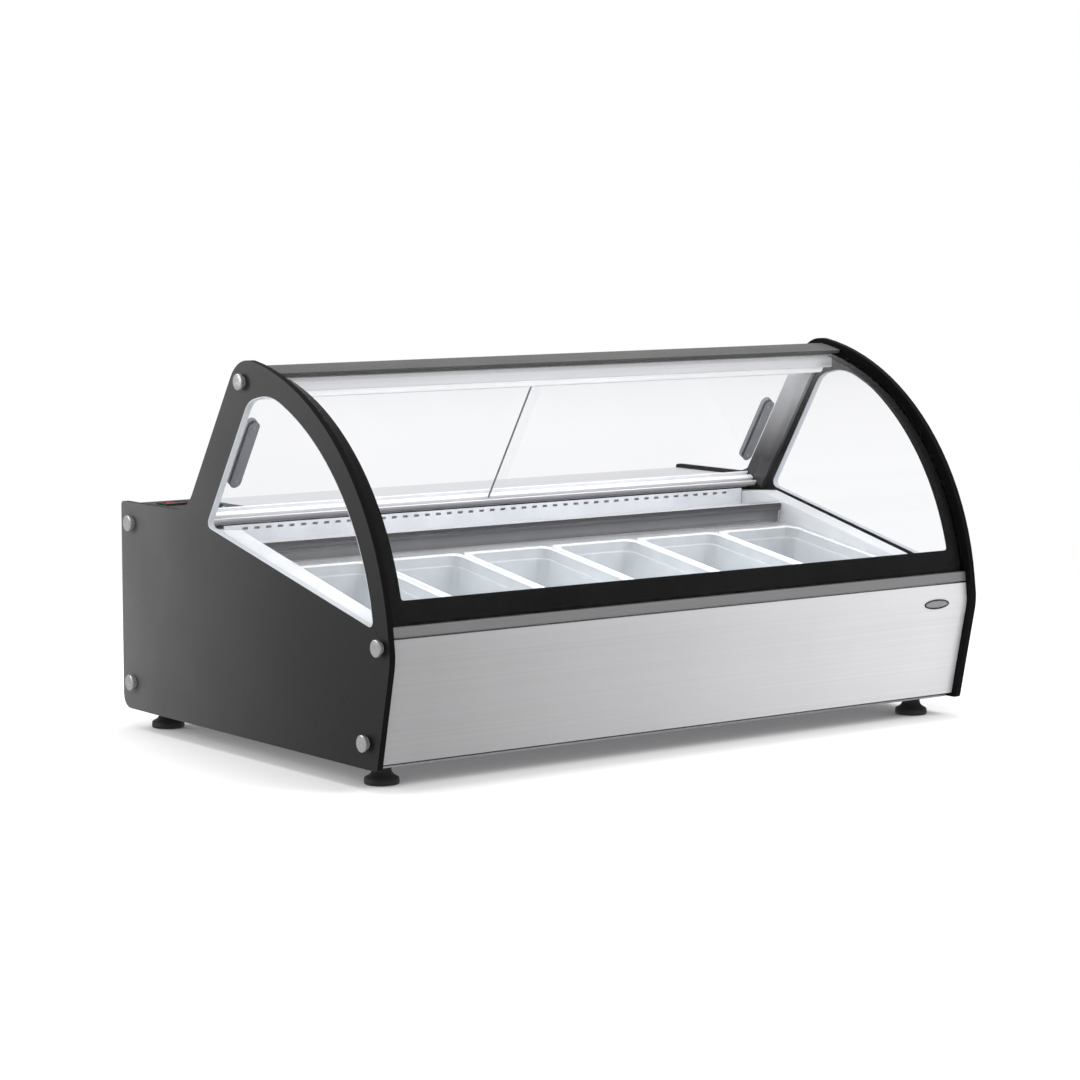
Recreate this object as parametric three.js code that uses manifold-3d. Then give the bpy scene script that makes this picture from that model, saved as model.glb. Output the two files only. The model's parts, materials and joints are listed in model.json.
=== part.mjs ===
// Countertop ice cream dipping cabinet: curved front glass, two sliding rear doors, six pans.
// Units are millimetres. +Z is up, +X is the customer's right, and the front faces -Y.
// The origin is on the counter, under the middle of the cabinet.
// Side sections are drawn as [depth, height]: depth runs forward from the back edge of the
// side panels, and height runs up from the counter.
import * as THREE from "three";
import { mergeVertices } from "three/addons/utils/BufferGeometryUtils.js";
import Module from "manifold-3d";

const wasm = await Module();
wasm.setup();

// ---------------------------------------------------------------- driving dimensions
const WIDTH = 1171; // over the outer faces of the side panels
const DEPTH = 780;
const HEIGHT = 617.2;
const SHELF_HEIGHT = 370.8; // top edge of the side panels over the rear shelf
const FOOT_HEIGHT = 31.5;
const SHEET = 2; // folded steel sheet, with its paint or foil
const GAP = 0.3; // clearance between neighbours

const PANEL_THICK = 10;
const PANEL_INSIDE = WIDTH / 2 - PANEL_THICK;
const BODY_HALF = PANEL_INSIDE - 6; // insulated body, clear of the side glass
const WELL_HALF = 535; // clear half width between the side ledges
const BAY_HALF = PANEL_INSIDE - 4.5; // sheet parts of the machine bay

// The front face is one large arc, with a smaller one at the top and one at the bulge.
const FRONT_ARC = { depth: 338, height: 180, radius: 442 };
const CROWN_ARC = { depth: 396, height: HEIGHT - 59, radius: 59 };
const BULGE_ARC = { depth: 680, height: 203.5, radius: 100 };
const CROWN_TURN = 81.4; // normal direction where the crown meets the front arc, degrees
const BULGE_TURN = 4; // normal direction where the front arc meets the bulge, degrees
const FRONT_LEAN = 12.2; // the lower front leans in by this many degrees

// The posts and the rear doors lean forward together.
const DOOR_SLOPE = 57.8; // degrees from horizontal
const DOOR_FOOT = { depth: 219.9, height: 389.6 }; // a point on the posts' rear edge
const POST_WIDTH = 61.4;
const LEDGE_SLOPE = 13.5; // fall of the window sills towards the front, degrees
const SILL = { depth: 287.5, height: 347.3 }; // a point on the window's lower edge
const WINDOW_RADIUS = 406; // window's front edge, concentric with the front arc
const WINDOW_FRONT = 732; // depth of the window's lower front corner
const WINDOW_CROWN = { depth: 416, height: 559.7, slope: 13.5 }; // window's upper rear edge
const WINDOW_CROWN_TURN = 67.5; // where the window's front arc ends, degrees
const WINDOW_LAP = 9; // the side glass laps this far over the panel, all round

const PAN_SLOPE = 9; // fall of the pan frame towards the front, degrees
const PAN_PLANE = { depth: 337, height: 296 }; // rear end of the pan frame's top face
const PAN_COUNT = 6;
const PAN_PITCH = 178;
const PAN = { width: 175, length: 325, depth: 150, wall: 3, rim: 3, neck: 16, taper: 7 };
const PAN_REAR = 41; // from the rear end of the pan frame to the pans' rims

const GLASS = 5;
const GLASS_INSET = 12; // front glass, in from the side panels' front edge
const SKIN_INSET = 11; // front panel, in from the side panels' front edge
const GLASS_BOTTOM = 246;
const GLASS_TOP_DEPTH = 452;

const BOLT = { head: 13, neck: 8.5, proud: 10, shank: 4, hole: 4.5 }; // radii, but for proud
const BOLT_PLACES = [
  [381, 584],
  [34, 337],
  [34, 76],
  [756, 216],
  [718, 71],
];
const FOOT_X = 534;
const FOOT_DEPTHS = { rear: 54, front: 681 };

// ---------------------------------------------------------------- materials
const finish = (color, roughness, metalness, more = {}) =>
  new THREE.MeshStandardMaterial({ color, roughness, metalness, ...more });
const BLACK_PAINT = finish(0x2b2b2d, 0.45, 0.2);
const BLACK_PLASTIC = finish(0x161616, 0.5, 0);
const BRUSHED_STEEL = finish(0xb9bbbd, 0.32, 1);
const BRIGHT_STEEL = finish(0xd4d6d8, 0.2, 1);
const ALUMINIUM = finish(0xa8abae, 0.38, 0.9);
const WHITE_PLASTIC = finish(0xe9ebee, 0.5, 0);
const LAMP_PLASTIC = finish(0xf8fafc, 0.4, 0);
const CLEAR = finish(0xe4edf2, 0.06, 0, { transparent: true, opacity: 0.25 });
const PAN_PLASTIC = finish(0xdfe7ec, 0.12, 0, { transparent: true, opacity: 0.5 });
const GALVANISED = finish(0x9a9fa3, 0.5, 0.8);
const MOTOR_BLACK = finish(0x1c1c1e, 0.55, 0.3);
const COPPER = finish(0xb87245, 0.35, 1);
const RUBBER = finish(0x1a1a1a, 0.8, 0);
const GREY_PLASTIC = finish(0x8d9194, 0.4, 0.1);

// ---------------------------------------------------------------- solids
const radians = THREE.MathUtils.degToRad;

function solidOf(geometry) {
  const bare = geometry.clone();
  bare.deleteAttribute("normal");
  bare.deleteAttribute("uv");
  const merged = mergeVertices(bare, 1e-3);
  return new wasm.Manifold(
    new wasm.Mesh({
      numProp: 3,
      vertProperties: merged.attributes.position.array,
      triVerts: new Uint32Array(merged.index.array),
    }),
  );
}

function geometryOf(solid) {
  const mesh = solid.getMesh();
  const geometry = new THREE.BufferGeometry();
  geometry.setAttribute("position", new THREE.BufferAttribute(mesh.vertProperties, 3));
  geometry.setIndex(new THREE.BufferAttribute(mesh.triVerts, 1));
  return geometry;
}

const join = (...geometries) =>
  geometryOf(geometries.map(solidOf).reduce((all, next) => all.add(next)));
const cut = (geometry, ...tools) =>
  geometryOf(tools.map(solidOf).reduce((rest, tool) => rest.subtract(tool), solidOf(geometry)));

// A box given by its lowest and highest value on each axis.
function block([x0, x1], [y0, y1], [z0, z1]) {
  const box = new THREE.BoxGeometry(x1 - x0, y1 - y0, z1 - z0);
  return box.translate((x0 + x1) / 2, (y0 + y1) / 2, (z0 + z1) / 2);
}

// A box in the cabinet, given by its width, depth and height ranges.
const cabinetBlock = (across, [back, front], heights) =>
  block(across, [DEPTH / 2 - front, DEPTH / 2 - back], heights);

function rod(radius, length, segments = 24) {
  return new THREE.CylinderGeometry(radius, radius, length, segments);
}

const rodAcross = (radius, length, segments) => rod(radius, length, segments).rotateZ(Math.PI / 2);
const rodUp = (radius, length, segments) => rod(radius, length, segments).rotateX(Math.PI / 2);

function turned(profile, segments = 24) {
  const points = profile.map(([r, z]) => new THREE.Vector2(r, z));
  return new THREE.LatheGeometry(points, segments).rotateX(Math.PI / 2);
}

// ---------------------------------------------------------------- outlines
const shapeOf = (points) => new THREE.Shape(points.map(([a, b]) => new THREE.Vector2(a, b)));

// Extrudes a [depth, height] section across the cabinet from x0 to x1.
function acrossCabinet(points, x0, x1) {
  const slab = new THREE.ExtrudeGeometry(shapeOf(points), { depth: x1 - x0, bevelEnabled: false });
  const toCabinet = new THREE.Matrix4().makeBasis(
    new THREE.Vector3(0, -1, 0),
    new THREE.Vector3(0, 0, 1),
    new THREE.Vector3(-1, 0, 0),
  );
  return slab.applyMatrix4(toCabinet).translate(x1, DEPTH / 2, 0);
}

function arcPoints(arc, inset, fromDegrees, toDegrees, steps) {
  const radius = arc.radius - inset;
  const points = [];
  for (let i = 0; i <= steps; i++) {
    const angle = radians(fromDegrees + ((toDegrees - fromDegrees) * i) / steps);
    points.push([arc.depth + radius * Math.cos(angle), arc.height + radius * Math.sin(angle)]);
  }
  return points;
}

// Rounds the corners of a polygon: each corner is [depth, height, radius].
function rounded(corners, steps = 5) {
  const points = [];
  corners.forEach(([a, b, radius = 0], i) => {
    if (!radius) {
      points.push([a, b]);
      return;
    }
    const corner = new THREE.Vector2(a, b);
    const before = corners[(i + corners.length - 1) % corners.length];
    const after = corners[(i + 1) % corners.length];
    const back = new THREE.Vector2(before[0] - a, before[1] - b).normalize();
    const on = new THREE.Vector2(after[0] - a, after[1] - b).normalize();
    const half = Math.acos(back.dot(on)) / 2;
    const middle = back.clone().add(on).normalize();
    const centre = corner.clone().addScaledVector(middle, radius / Math.sin(half));
    const start = corner.clone().addScaledVector(back, radius / Math.tan(half)).sub(centre);
    const end = corner.clone().addScaledVector(on, radius / Math.tan(half)).sub(centre);
    let turn = end.angle() - start.angle();
    if (turn > Math.PI) turn -= 2 * Math.PI;
    if (turn < -Math.PI) turn += 2 * Math.PI;
    for (let k = 0; k <= steps; k++) {
      const arm = start.clone().rotateAround(new THREE.Vector2(), (turn * k) / steps);
      points.push([centre.x + arm.x, centre.y + arm.y]);
    }
  });
  return points;
}

// Where two lines meet, each given by a point and a direction in degrees.
function meet([a, b], degreesA, [c, d], degreesB) {
  const [ux, uy] = [Math.cos(radians(degreesA)), Math.sin(radians(degreesA))];
  const [vx, vy] = [Math.cos(radians(degreesB)), Math.sin(radians(degreesB))];
  const t = ((c - a) * vy - (d - b) * vx) / (ux * vy - uy * vx);
  return [a + ux * t, b + uy * t];
}

// The lean of the doors: `off` is measured forward, square to the posts, and `up` along them.
const DOOR_SIN = Math.sin(radians(DOOR_SLOPE));
const DOOR_COS = Math.cos(radians(DOOR_SLOPE));
const doorPoint = (off, up) => [
  DOOR_FOOT.depth + off * DOOR_SIN + up * DOOR_COS,
  DOOR_FOOT.height - off * DOOR_COS + up * DOOR_SIN,
];

// Depth of the front face at a height, for a surface that lies `inset` inside the outline.
function frontDepth(height, inset) {
  const bulge = BULGE_ARC.radius - inset;
  const front = FRONT_ARC.radius - inset;
  const upper = BULGE_ARC.height + bulge * Math.sin(radians(BULGE_TURN));
  const lower = BULGE_ARC.height - bulge * Math.sin(radians(FRONT_LEAN));
  if (height > upper) return FRONT_ARC.depth + Math.sqrt(front ** 2 - (height - FRONT_ARC.height) ** 2);
  const bulged = (h) => BULGE_ARC.depth + Math.sqrt(bulge ** 2 - (h - BULGE_ARC.height) ** 2);
  if (height > lower) return bulged(height);
  return bulged(lower) - (lower - height) * Math.tan(radians(FRONT_LEAN));
}

function frontPoints(inset, heights) {
  return heights.map((height) => [frontDepth(height, inset), height]);
}

const sillHeight = (depth) => SILL.height - (depth - SILL.depth) * Math.tan(radians(LEDGE_SLOPE));

function panelOutline() {
  const shelfCorner = meet([0, SHELF_HEIGHT], 0, doorPoint(0, 0), DOOR_SLOPE);
  const crownStart = DOOR_SLOPE + 90;
  return rounded([
    [0, FOOT_HEIGHT, 22],
    [frontDepth(FOOT_HEIGHT, 0), FOOT_HEIGHT, 6],
    ...arcPoints(BULGE_ARC, 0, -FRONT_LEAN, BULGE_TURN, 4),
    ...arcPoints(FRONT_ARC, 0, BULGE_TURN, CROWN_TURN, 24).slice(1),
    ...arcPoints(CROWN_ARC, 0, CROWN_TURN, crownStart, 8).slice(1),
    [...shelfCorner, 58],
    [0, SHELF_HEIGHT, 6],
  ]);
}

// The window, or with `grow` the pane that covers it and laps `grow` over the panel.
function windowOutline(grow) {
  const edge = { ...FRONT_ARC, radius: WINDOW_RADIUS + grow };
  const sill = [SILL.depth, SILL.height - grow];
  const rearEdge = doorPoint(POST_WIDTH - grow, 0);
  const frontLow = sillHeight(WINDOW_FRONT) - grow - edge.height;
  const lowest = THREE.MathUtils.radToDeg(Math.asin(frontLow / edge.radius));
  const front = arcPoints(edge, 0, lowest, WINDOW_CROWN_TURN, 20);
  const crown = [WINDOW_CROWN.depth, WINDOW_CROWN.height + grow];
  return rounded([
    [...meet(rearEdge, DOOR_SLOPE, sill, -LEDGE_SLOPE), 10],
    [...front[0], 9],
    ...front.slice(2),
    [...meet(crown, WINDOW_CROWN.slope, front.at(-1), WINDOW_CROWN_TURN - 90), 100],
    [...meet(rearEdge, DOOR_SLOPE, crown, WINDOW_CROWN.slope), 42],
  ]);
}

// ---------------------------------------------------------------- the cabinet
const cabinet = new THREE.Group();

function add(name, geometry, material, parent = cabinet) {
  const mesh = new THREE.Mesh(geometry, material);
  mesh.name = name;
  parent.add(mesh);
  return mesh;
}

// Adds a left and a right copy; `make` gets the side's sign.
function addPair(name, make, material, parent = cabinet) {
  add(`left_${name}`, make(-1), material, parent);
  add(`right_${name}`, make(1), material, parent);
}

// Orders the two x values of a layer that lies between two distances from the middle.
const layer = (side, inner, outer) => (side > 0 ? [inner, outer] : [-outer, -inner]);

// ------------------------------------------------ side panels, windows and bolts
function sidePanel(side) {
  const [x0, x1] = layer(side, PANEL_INSIDE, WIDTH / 2);
  const window = acrossCabinet(windowOutline(0), x0 - 1, x1 + 1);
  const holes = BOLT_PLACES.map(([depth, height]) =>
    rodAcross(BOLT.hole, 4 * PANEL_THICK, 12).translate((side * WIDTH) / 2, DEPTH / 2 - depth, height),
  );
  return cut(acrossCabinet(panelOutline(), x0, x1), window, ...holes);
}

function sideGlass(side) {
  const [x0, x1] = layer(side, PANEL_INSIDE - GAP - GLASS, PANEL_INSIDE - GAP);
  return acrossCabinet(windowOutline(WINDOW_LAP), x0, x1);
}

addPair("side_panel", sidePanel, BLACK_PAINT);
addPair("side_glass", sideGlass, CLEAR);

// A disc head on a neck, outwards along +Z, with its shank in the panel's hole.
function discBolt() {
  const { head, neck, proud, shank } = BOLT;
  return turned([
    [0, -PANEL_THICK],
    [shank, -PANEL_THICK],
    [shank, GAP],
    [neck, GAP],
    [neck, 0.5 * proud],
    [head, 0.5 * proud],
    [head, 0.9 * proud],
    [0.93 * head, proud],
    [0, proud],
  ], 16);
}

for (const [sideName, side] of [["left", -1], ["right", 1]]) {
  BOLT_PLACES.forEach(([depth, height], i) => {
    const bolt = add(`${sideName}_panel_bolt_${i + 1}`, discBolt(), BRIGHT_STEEL);
    bolt.position.set((side * WIDTH) / 2, DEPTH / 2 - depth, height);
    bolt.rotation.y = (side * Math.PI) / 2;
  });
}

// ------------------------------------------------ front glass, trim and front panel
const FRONT_HALF = PANEL_INSIDE - 0.6; // pieces that span between the side panels

function frontGlass() {
  const outer = { ...FRONT_ARC, radius: FRONT_ARC.radius - GLASS_INSET };
  const inner = { ...outer, radius: outer.radius - GLASS };
  const bottom = THREE.MathUtils.radToDeg(Math.asin((GLASS_BOTTOM - outer.height) / outer.radius));
  const top = THREE.MathUtils.radToDeg(Math.acos((GLASS_TOP_DEPTH - outer.depth) / outer.radius));
  const section = [...arcPoints(outer, 0, bottom, top, 28), ...arcPoints(inner, 0, top, bottom, 28)];
  return acrossCabinet(section, -FRONT_HALF, FRONT_HALF);
}

// The strip below the glass has a lip that stands behind the glass.
const STRIP = { face: 15, lip: 16, rear: 25 }; // height, rise behind the glass, and rear inset

function glassTrimStrip() {
  const top = GLASS_BOTTOM - 1.1;
  const bottom = top - STRIP.face;
  const lip = GLASS_BOTTOM + STRIP.lip;
  const behindGlass = GLASS_INSET + GLASS + GAP;
  const section = [
    ...frontPoints(SKIN_INSET, [bottom, bottom + STRIP.face / 2, top]),
    ...frontPoints(behindGlass, [top, lip]),
    ...frontPoints(behindGlass + 4, [lip]),
    ...frontPoints(STRIP.rear, [top, bottom]),
  ];
  return acrossCabinet(section, -FRONT_HALF, FRONT_HALF);
}

// A sheet skin over the bulge, folded back along its top and bottom edges.
const SKIN = { bottom: 38.5, top: GLASS_BOTTOM - 19, fold: 16 };
const BULGE_STEPS = [150, 186, 194, 202, 210, 218]; // heights of the skin's facet lines

function frontPanel() {
  const { bottom, top, fold } = SKIN;
  const inner = [bottom + SHEET, ...BULGE_STEPS, top - SHEET].reverse();
  const section = [
    ...frontPoints(SKIN_INSET + fold, [bottom]),
    ...frontPoints(SKIN_INSET, [bottom, ...BULGE_STEPS, top]),
    ...frontPoints(SKIN_INSET + fold, [top, top - SHEET]),
    ...frontPoints(SKIN_INSET + SHEET, inner),
    ...frontPoints(SKIN_INSET + fold, [bottom + SHEET]),
  ];
  return acrossCabinet(section, -FRONT_HALF, FRONT_HALF);
}

add("front_glass", frontGlass(), CLEAR);
add("glass_trim_strip", glassTrimStrip(), ALUMINIUM);
add("front_panel", frontPanel(), BRUSHED_STEEL);

// ------------------------------------------------ top rail and lamp
const RAIL = { outside: 8.7, inside: 14.5, front: GLASS_TOP_DEPTH - 4 }; // insets, and front depth

function topRail() {
  const { outside, inside, front } = RAIL;
  const reach = FRONT_ARC.radius - GLASS_INSET;
  const end = THREE.MathUtils.radToDeg(Math.acos((front - FRONT_ARC.depth) / reach));
  const start = DOOR_SLOPE + 89;
  const section = [
    ...arcPoints(FRONT_ARC, outside, end, CROWN_TURN, 4),
    ...arcPoints(CROWN_ARC, outside, CROWN_TURN, start, 8).slice(1),
    ...arcPoints(CROWN_ARC, inside, start, CROWN_TURN, 8),
    ...arcPoints(FRONT_ARC, inside, CROWN_TURN, end, 4).slice(1),
  ];
  return acrossCabinet(section, -PANEL_INSIDE + GAP, PANEL_INSIDE - GAP);
}

const LAMP_HALF = PANEL_INSIDE - 9;
const LAMP = { back: 400, front: 438, bottom: 569, tubeRadius: 9, tubeHalf: LAMP_HALF - 12 };

function lampHousing() {
  const { back, front, bottom } = LAMP;
  const section = rounded([
    [back, bottom, 3],
    [front, bottom, 3],
    [front, bottom + 22, 2],
    [back, bottom + 24, 2],
  ], 3);
  return acrossCabinet(section, -LAMP_HALF, LAMP_HALF);
}

function lampDiffuser() {
  const { back, front, bottom, tubeRadius, tubeHalf } = LAMP;
  const tube = { depth: (back + front) / 2, height: bottom - GAP, radius: tubeRadius };
  return acrossCabinet(arcPoints(tube, 0, 180, 360, 10), -tubeHalf, tubeHalf);
}

add("top_rail", topRail(), BLACK_PAINT);
add("lamp_housing", lampHousing(), ALUMINIUM);
add("lamp_diffuser", lampDiffuser(), LAMP_PLASTIC);

// ------------------------------------------------ insulated body and well
const BODY_BOTTOM = 44;
const BODY_REAR = 190;
const BODY_TOP = { rear: 338, front: GLASS_BOTTOM - 24 };
const BODY_INSET = { foot: 16, shoulder: 34 }; // in from the side panels' front edge
const BAY_WALL = 25; // rear wall of the body
const WELL_FRONT = 712;
const WELL_FLOOR = 66;
const LINE_PLACES = [
  { x: 452, height: 150, radius: 9 },
  { x: 486, height: 150, radius: 7 },
]; // holes for the suction and liquid lines

const lineHoles = (back, front) =>
  LINE_PLACES.map(({ x, height, radius }) =>
    rod(radius, front - back, 16).translate(x, DEPTH / 2 - (back + front) / 2, height),
  );

function insulatedBody() {
  const ledge = (depth) => [depth, sillHeight(depth) - 2];
  const [shoulder] = frontPoints(BODY_INSET.shoulder, [BODY_TOP.front]);
  const section = [
    [BODY_REAR, BODY_BOTTOM],
    ...frontPoints(BODY_INSET.foot, [BODY_BOTTOM, 150, 188, 200, 212, BODY_TOP.front]),
    shoulder,
    ledge(shoulder[0]),
    ledge(SILL.depth + 4),
    [BODY_REAR, BODY_TOP.rear],
  ];
  const shell = acrossCabinet(section, -BODY_HALF, BODY_HALF);
  const well = cabinetBlock(
    [-WELL_HALF, WELL_HALF],
    [BODY_REAR + BAY_WALL, WELL_FRONT],
    [WELL_FLOOR, HEIGHT],
  );
  return cut(shell, well, ...lineHoles(BODY_REAR - 10, BODY_REAR + BAY_WALL + 10));
}

add("insulated_body", insulatedBody(), WHITE_PLASTIC);

// Height of the pan frame's top face at a depth.
const panPlane = (depth) =>
  PAN_PLANE.height - (depth - PAN_PLANE.depth) * Math.tan(radians(PAN_SLOPE));

const WELL_REAR = 327;

// An open tub, its rim just under the pan frame; the inner cut runs out through the top.
function wellLiner() {
  const floor = WELL_FLOOR + 1;
  const front = WELL_FRONT - 1;
  const tub = (inset) => [
    [WELL_REAR + inset, floor + inset],
    [front - inset, floor + inset],
    [front - inset, panPlane(front) - 4 + inset * 3],
    [WELL_REAR + inset, panPlane(WELL_REAR) - 4 + inset * 3],
  ];
  const half = WELL_HALF - GAP;
  return cut(
    acrossCabinet(tub(0), -half, half),
    acrossCabinet(tub(SHEET), -half + SHEET, half - SHEET),
  );
}

add("well_liner", wellLiner(), BRIGHT_STEEL);

// The group's origin is the rear end of the pan frame's top face; -Y runs down the slope.
const wellTop = new THREE.Group();
wellTop.position.set(0, DEPTH / 2 - PAN_PLANE.depth, PAN_PLANE.height);
wellTop.rotation.x = radians(PAN_SLOPE);
cabinet.add(wellTop);

const panX = (index) => (index - (PAN_COUNT - 1) / 2) * PAN_PITCH;

const FRAME = { length: 374, plate: 3, seat: 5 }; // the pans' rims rest on a seat this wide

// A slotted plate with a stepped bar along its rear edge and a lip along its front edge.
function panFrame() {
  const { length, plate, seat } = FRAME;
  const across = [-WELL_HALF + 1, WELL_HALF - 1];
  const pieces = [
    block(across, [-length, 0], [-plate, 0]),
    block(across, [-2, 9], [-plate, 25]),
    block(across, [-5, 9], [21, 34]),
    block(across, [-length - 2, -length], [-plate, 6]),
  ];
  const openings = [];
  for (let i = 0; i < PAN_COUNT; i++) {
    const reach = PAN.width / 2 - seat;
    const along = [-PAN_REAR - PAN.length + seat, -PAN_REAR - seat];
    openings.push(block([panX(i) - reach, panX(i) + reach], along, [-3 * plate, 3 * plate]));
  }
  return cut(join(...pieces), ...openings);
}

add("pan_frame", panFrame(), BRIGHT_STEEL, wellTop);

// A rounded block that narrows downwards from z = top to z = bottom.
function taperedBlock(width, length, radius, top, bottom, shrink) {
  const corners = [[-1, -1], [1, -1], [1, 1], [-1, 1]].map(([a, b]) => [
    (a * width) / 2,
    (b * length) / 2,
    radius,
  ]);
  const slab = new THREE.ExtrudeGeometry(shapeOf(rounded(corners, 3)), {
    depth: top - bottom,
    bevelEnabled: false,
  }).translate(0, 0, bottom);
  const at = slab.attributes.position;
  for (let i = 0; i < at.count; i++) {
    if (at.getZ(i) > bottom + 1e-3) continue;
    at.setX(i, at.getX(i) * (1 - shrink / (width / 2)));
    at.setY(i, at.getY(i) * (1 - shrink / (length / 2)));
  }
  return slab;
}

function pan() {
  const { width, length, depth, wall, rim, neck, taper } = PAN;
  const tub = (inset, radius, top, bottom) =>
    taperedBlock(width - neck - 2 * inset, length - neck - 2 * inset, radius, top, bottom, taper);
  const outside = tub(0, 18, rim / 2, -depth);
  const inside = tub(wall, 16, rim + 1, wall - depth);
  const flange = taperedBlock(width, length, 14, rim, 0, 0);
  return cut(join(flange, outside), inside);
}

for (let i = 0; i < PAN_COUNT; i++) {
  const mesh = add(`pan_${i + 1}`, pan(), PAN_PLASTIC, wellTop);
  mesh.position.set(panX(i), -PAN_REAR - PAN.length / 2, GAP);
}

// ------------------------------------------------ air duct and evaporator
const DUCT_DEPTH = 235;
const DUCT_TOP = 346;
const VENT = { count: 46, pitch: 22, half: 5, below: 4, tall: 4 };

function ductPanel() {
  const half = WELL_HALF - 1;
  const panel = cabinetBlock([-half, half], [DUCT_DEPTH, DUCT_DEPTH + SHEET], [WELL_FLOOR + 4, DUCT_TOP]);
  const ventTop = DUCT_TOP - VENT.below;
  const vents = [];
  for (let i = 0; i < VENT.count; i++) {
    const x = (i - (VENT.count - 1) / 2) * VENT.pitch;
    const depths = [DUCT_DEPTH - SHEET, DUCT_DEPTH + 3 * SHEET];
    vents.push(cabinetBlock([x - VENT.half, x + VENT.half], depths, [ventTop - VENT.tall, ventTop]));
  }
  return cut(panel, ...vents, ...lineHoles(DUCT_DEPTH - 10, DUCT_DEPTH + 12));
}

const EVAPORATOR = { half: 330, depths: [252, 312], heights: [90, 190], fins: 12, middle: 282 };
const EVAPORATOR_MOTOR = { radius: 16, tall: 25 };

// Fins on a flat tube core, with the fan motor standing on the top plate.
function evaporatorCoil() {
  const { half, depths, heights, fins, middle } = EVAPORATOR;
  const [back, front] = depths;
  const [bottom, top] = heights;
  const { radius, tall } = EVAPORATOR_MOTOR;
  const pieces = [
    cabinetBlock([-half, half], [back + 8, front - 8], [bottom + 8, top - 8]),
    cabinetBlock([-60, 60], [back, front], [top - 9, top + 2]),
    rodUp(radius, tall, 20).translate(0, DEPTH / 2 - middle, top + tall / 2),
  ];
  for (let i = 0; i < fins; i++) {
    const x = -half + (2 * half * i) / (fins - 1);
    pieces.push(cabinetBlock([x - 1.5, x + 1.5], depths, heights));
  }
  return join(...pieces);
}

// A fan on the Z axis: a hub and pitched blades between two heights.
function fanWheel(radius, hub, thick, blades) {
  const pieces = [rodUp(hub, thick, 20)];
  for (let i = 0; i < blades; i++) {
    const blade = block([hub - 4, radius], [-hub * 0.7, hub * 0.7], [-0.9, 0.9]);
    blade.rotateX(radians(28)).rotateZ((2 * Math.PI * i) / blades);
    pieces.push(blade);
  }
  return join(...pieces);
}

add("duct_panel", ductPanel(), WHITE_PLASTIC);
add("evaporator_coil", evaporatorCoil(), ALUMINIUM);
const evaporatorFan = add("evaporator_fan", fanWheel(32, 12, 14, 5), GREY_PLASTIC);
const evaporatorFanHeight = EVAPORATOR.heights[1] + EVAPORATOR_MOTOR.tall + 8;
evaporatorFan.position.set(0, DEPTH / 2 - EVAPORATOR.middle, evaporatorFanHeight);

// ------------------------------------------------ base tray, rear panel, shelf
const BACK_DEPTH = 26; // the rear panel stands this far in from the back edges
const TRAY_BOTTOM = FOOT_HEIGHT + 0.5;
const SHELF_TOP = SHELF_HEIGHT - 6.8;
const SHELF_FRONT = 205;
const TRAY = { back: BACK_DEPTH + 3, front: 726, thick: 3, kerb: 22 };
const TRAY_TOP = TRAY_BOTTOM + TRAY.thick;

function baseTray() {
  const { back, front, thick, kerb } = TRAY;
  const section = [
    [back, TRAY_BOTTOM],
    [front, TRAY_BOTTOM],
    [front, TRAY_TOP],
    [back + thick, TRAY_TOP],
    [back + thick, TRAY_BOTTOM + kerb],
    [back, TRAY_BOTTOM + kerb],
  ];
  return acrossCabinet(section, -BAY_HALF, BAY_HALF);
}

const LOUVRE_BANKS = [-330, -110, 110, 330];
const LOUVRE = { count: 8, lowest: 110, pitch: 24, half: 75, tall: 6 };
const INLET = { x: -500, height: 92, half: 25, tall: 14 };

function rearPanel() {
  const depths = [BACK_DEPTH, BACK_DEPTH + SHEET];
  const through = [BACK_DEPTH - 6, BACK_DEPTH + 8];
  const tools = [];
  for (const x of LOUVRE_BANKS) {
    for (let i = 0; i < LOUVRE.count; i++) {
      const slot = LOUVRE.lowest + i * LOUVRE.pitch;
      const heights = [slot - LOUVRE.tall / 2, slot + LOUVRE.tall / 2];
      tools.push(cabinetBlock([x - LOUVRE.half, x + LOUVRE.half], through, heights));
    }
  }
  const { x, height, half, tall } = INLET;
  tools.push(cabinetBlock([x - half + 4, x + half - 4], through, [height - tall + 4, height + tall - 4]));
  return cut(cabinetBlock([-BAY_HALF, BAY_HALF], depths, [TRAY_BOTTOM + 4, SHELF_TOP - 4]), ...tools);
}

// A three-pin inlet socket: a flange, a cup behind it, and the pins inside the cup.
function powerInlet() {
  const { x, height, half, tall } = INLET;
  const stage = (inset, insetTall, back, front) =>
    cabinetBlock(
      [x - half + inset, x + half - inset],
      [BACK_DEPTH + back, BACK_DEPTH + front],
      [height - tall + insetTall, height + tall - insetTall],
    );
  const flange = stage(0, 0, -3.5, -GAP);
  const cup = stage(5, 5, -3, 22);
  const mouth = stage(8, 7, -6, 18);
  const pins = [-9, 0, 9].map((dx) =>
    cabinetBlock(
      [x + dx - 1, x + dx + 1],
      [BACK_DEPTH + 4, BACK_DEPTH + 20],
      [height - 2.5, height + 2.5],
    ),
  );
  return join(cut(join(flange, cup), mouth), ...pins);
}

const CONTROLS = { x: -511, half: 60, depths: [14, 192] };
const CONTROL_TOP = SHELF_TOP + GAP + 3;
const CONTROLLER = { depth: 68, half: 38, reach: 17 };
const ROCKER = { depth: 138, half: 6, reach: 10 };
const ROCKER_XS = { power: CONTROLS.x - 24, light: CONTROLS.x + 24 };

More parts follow.
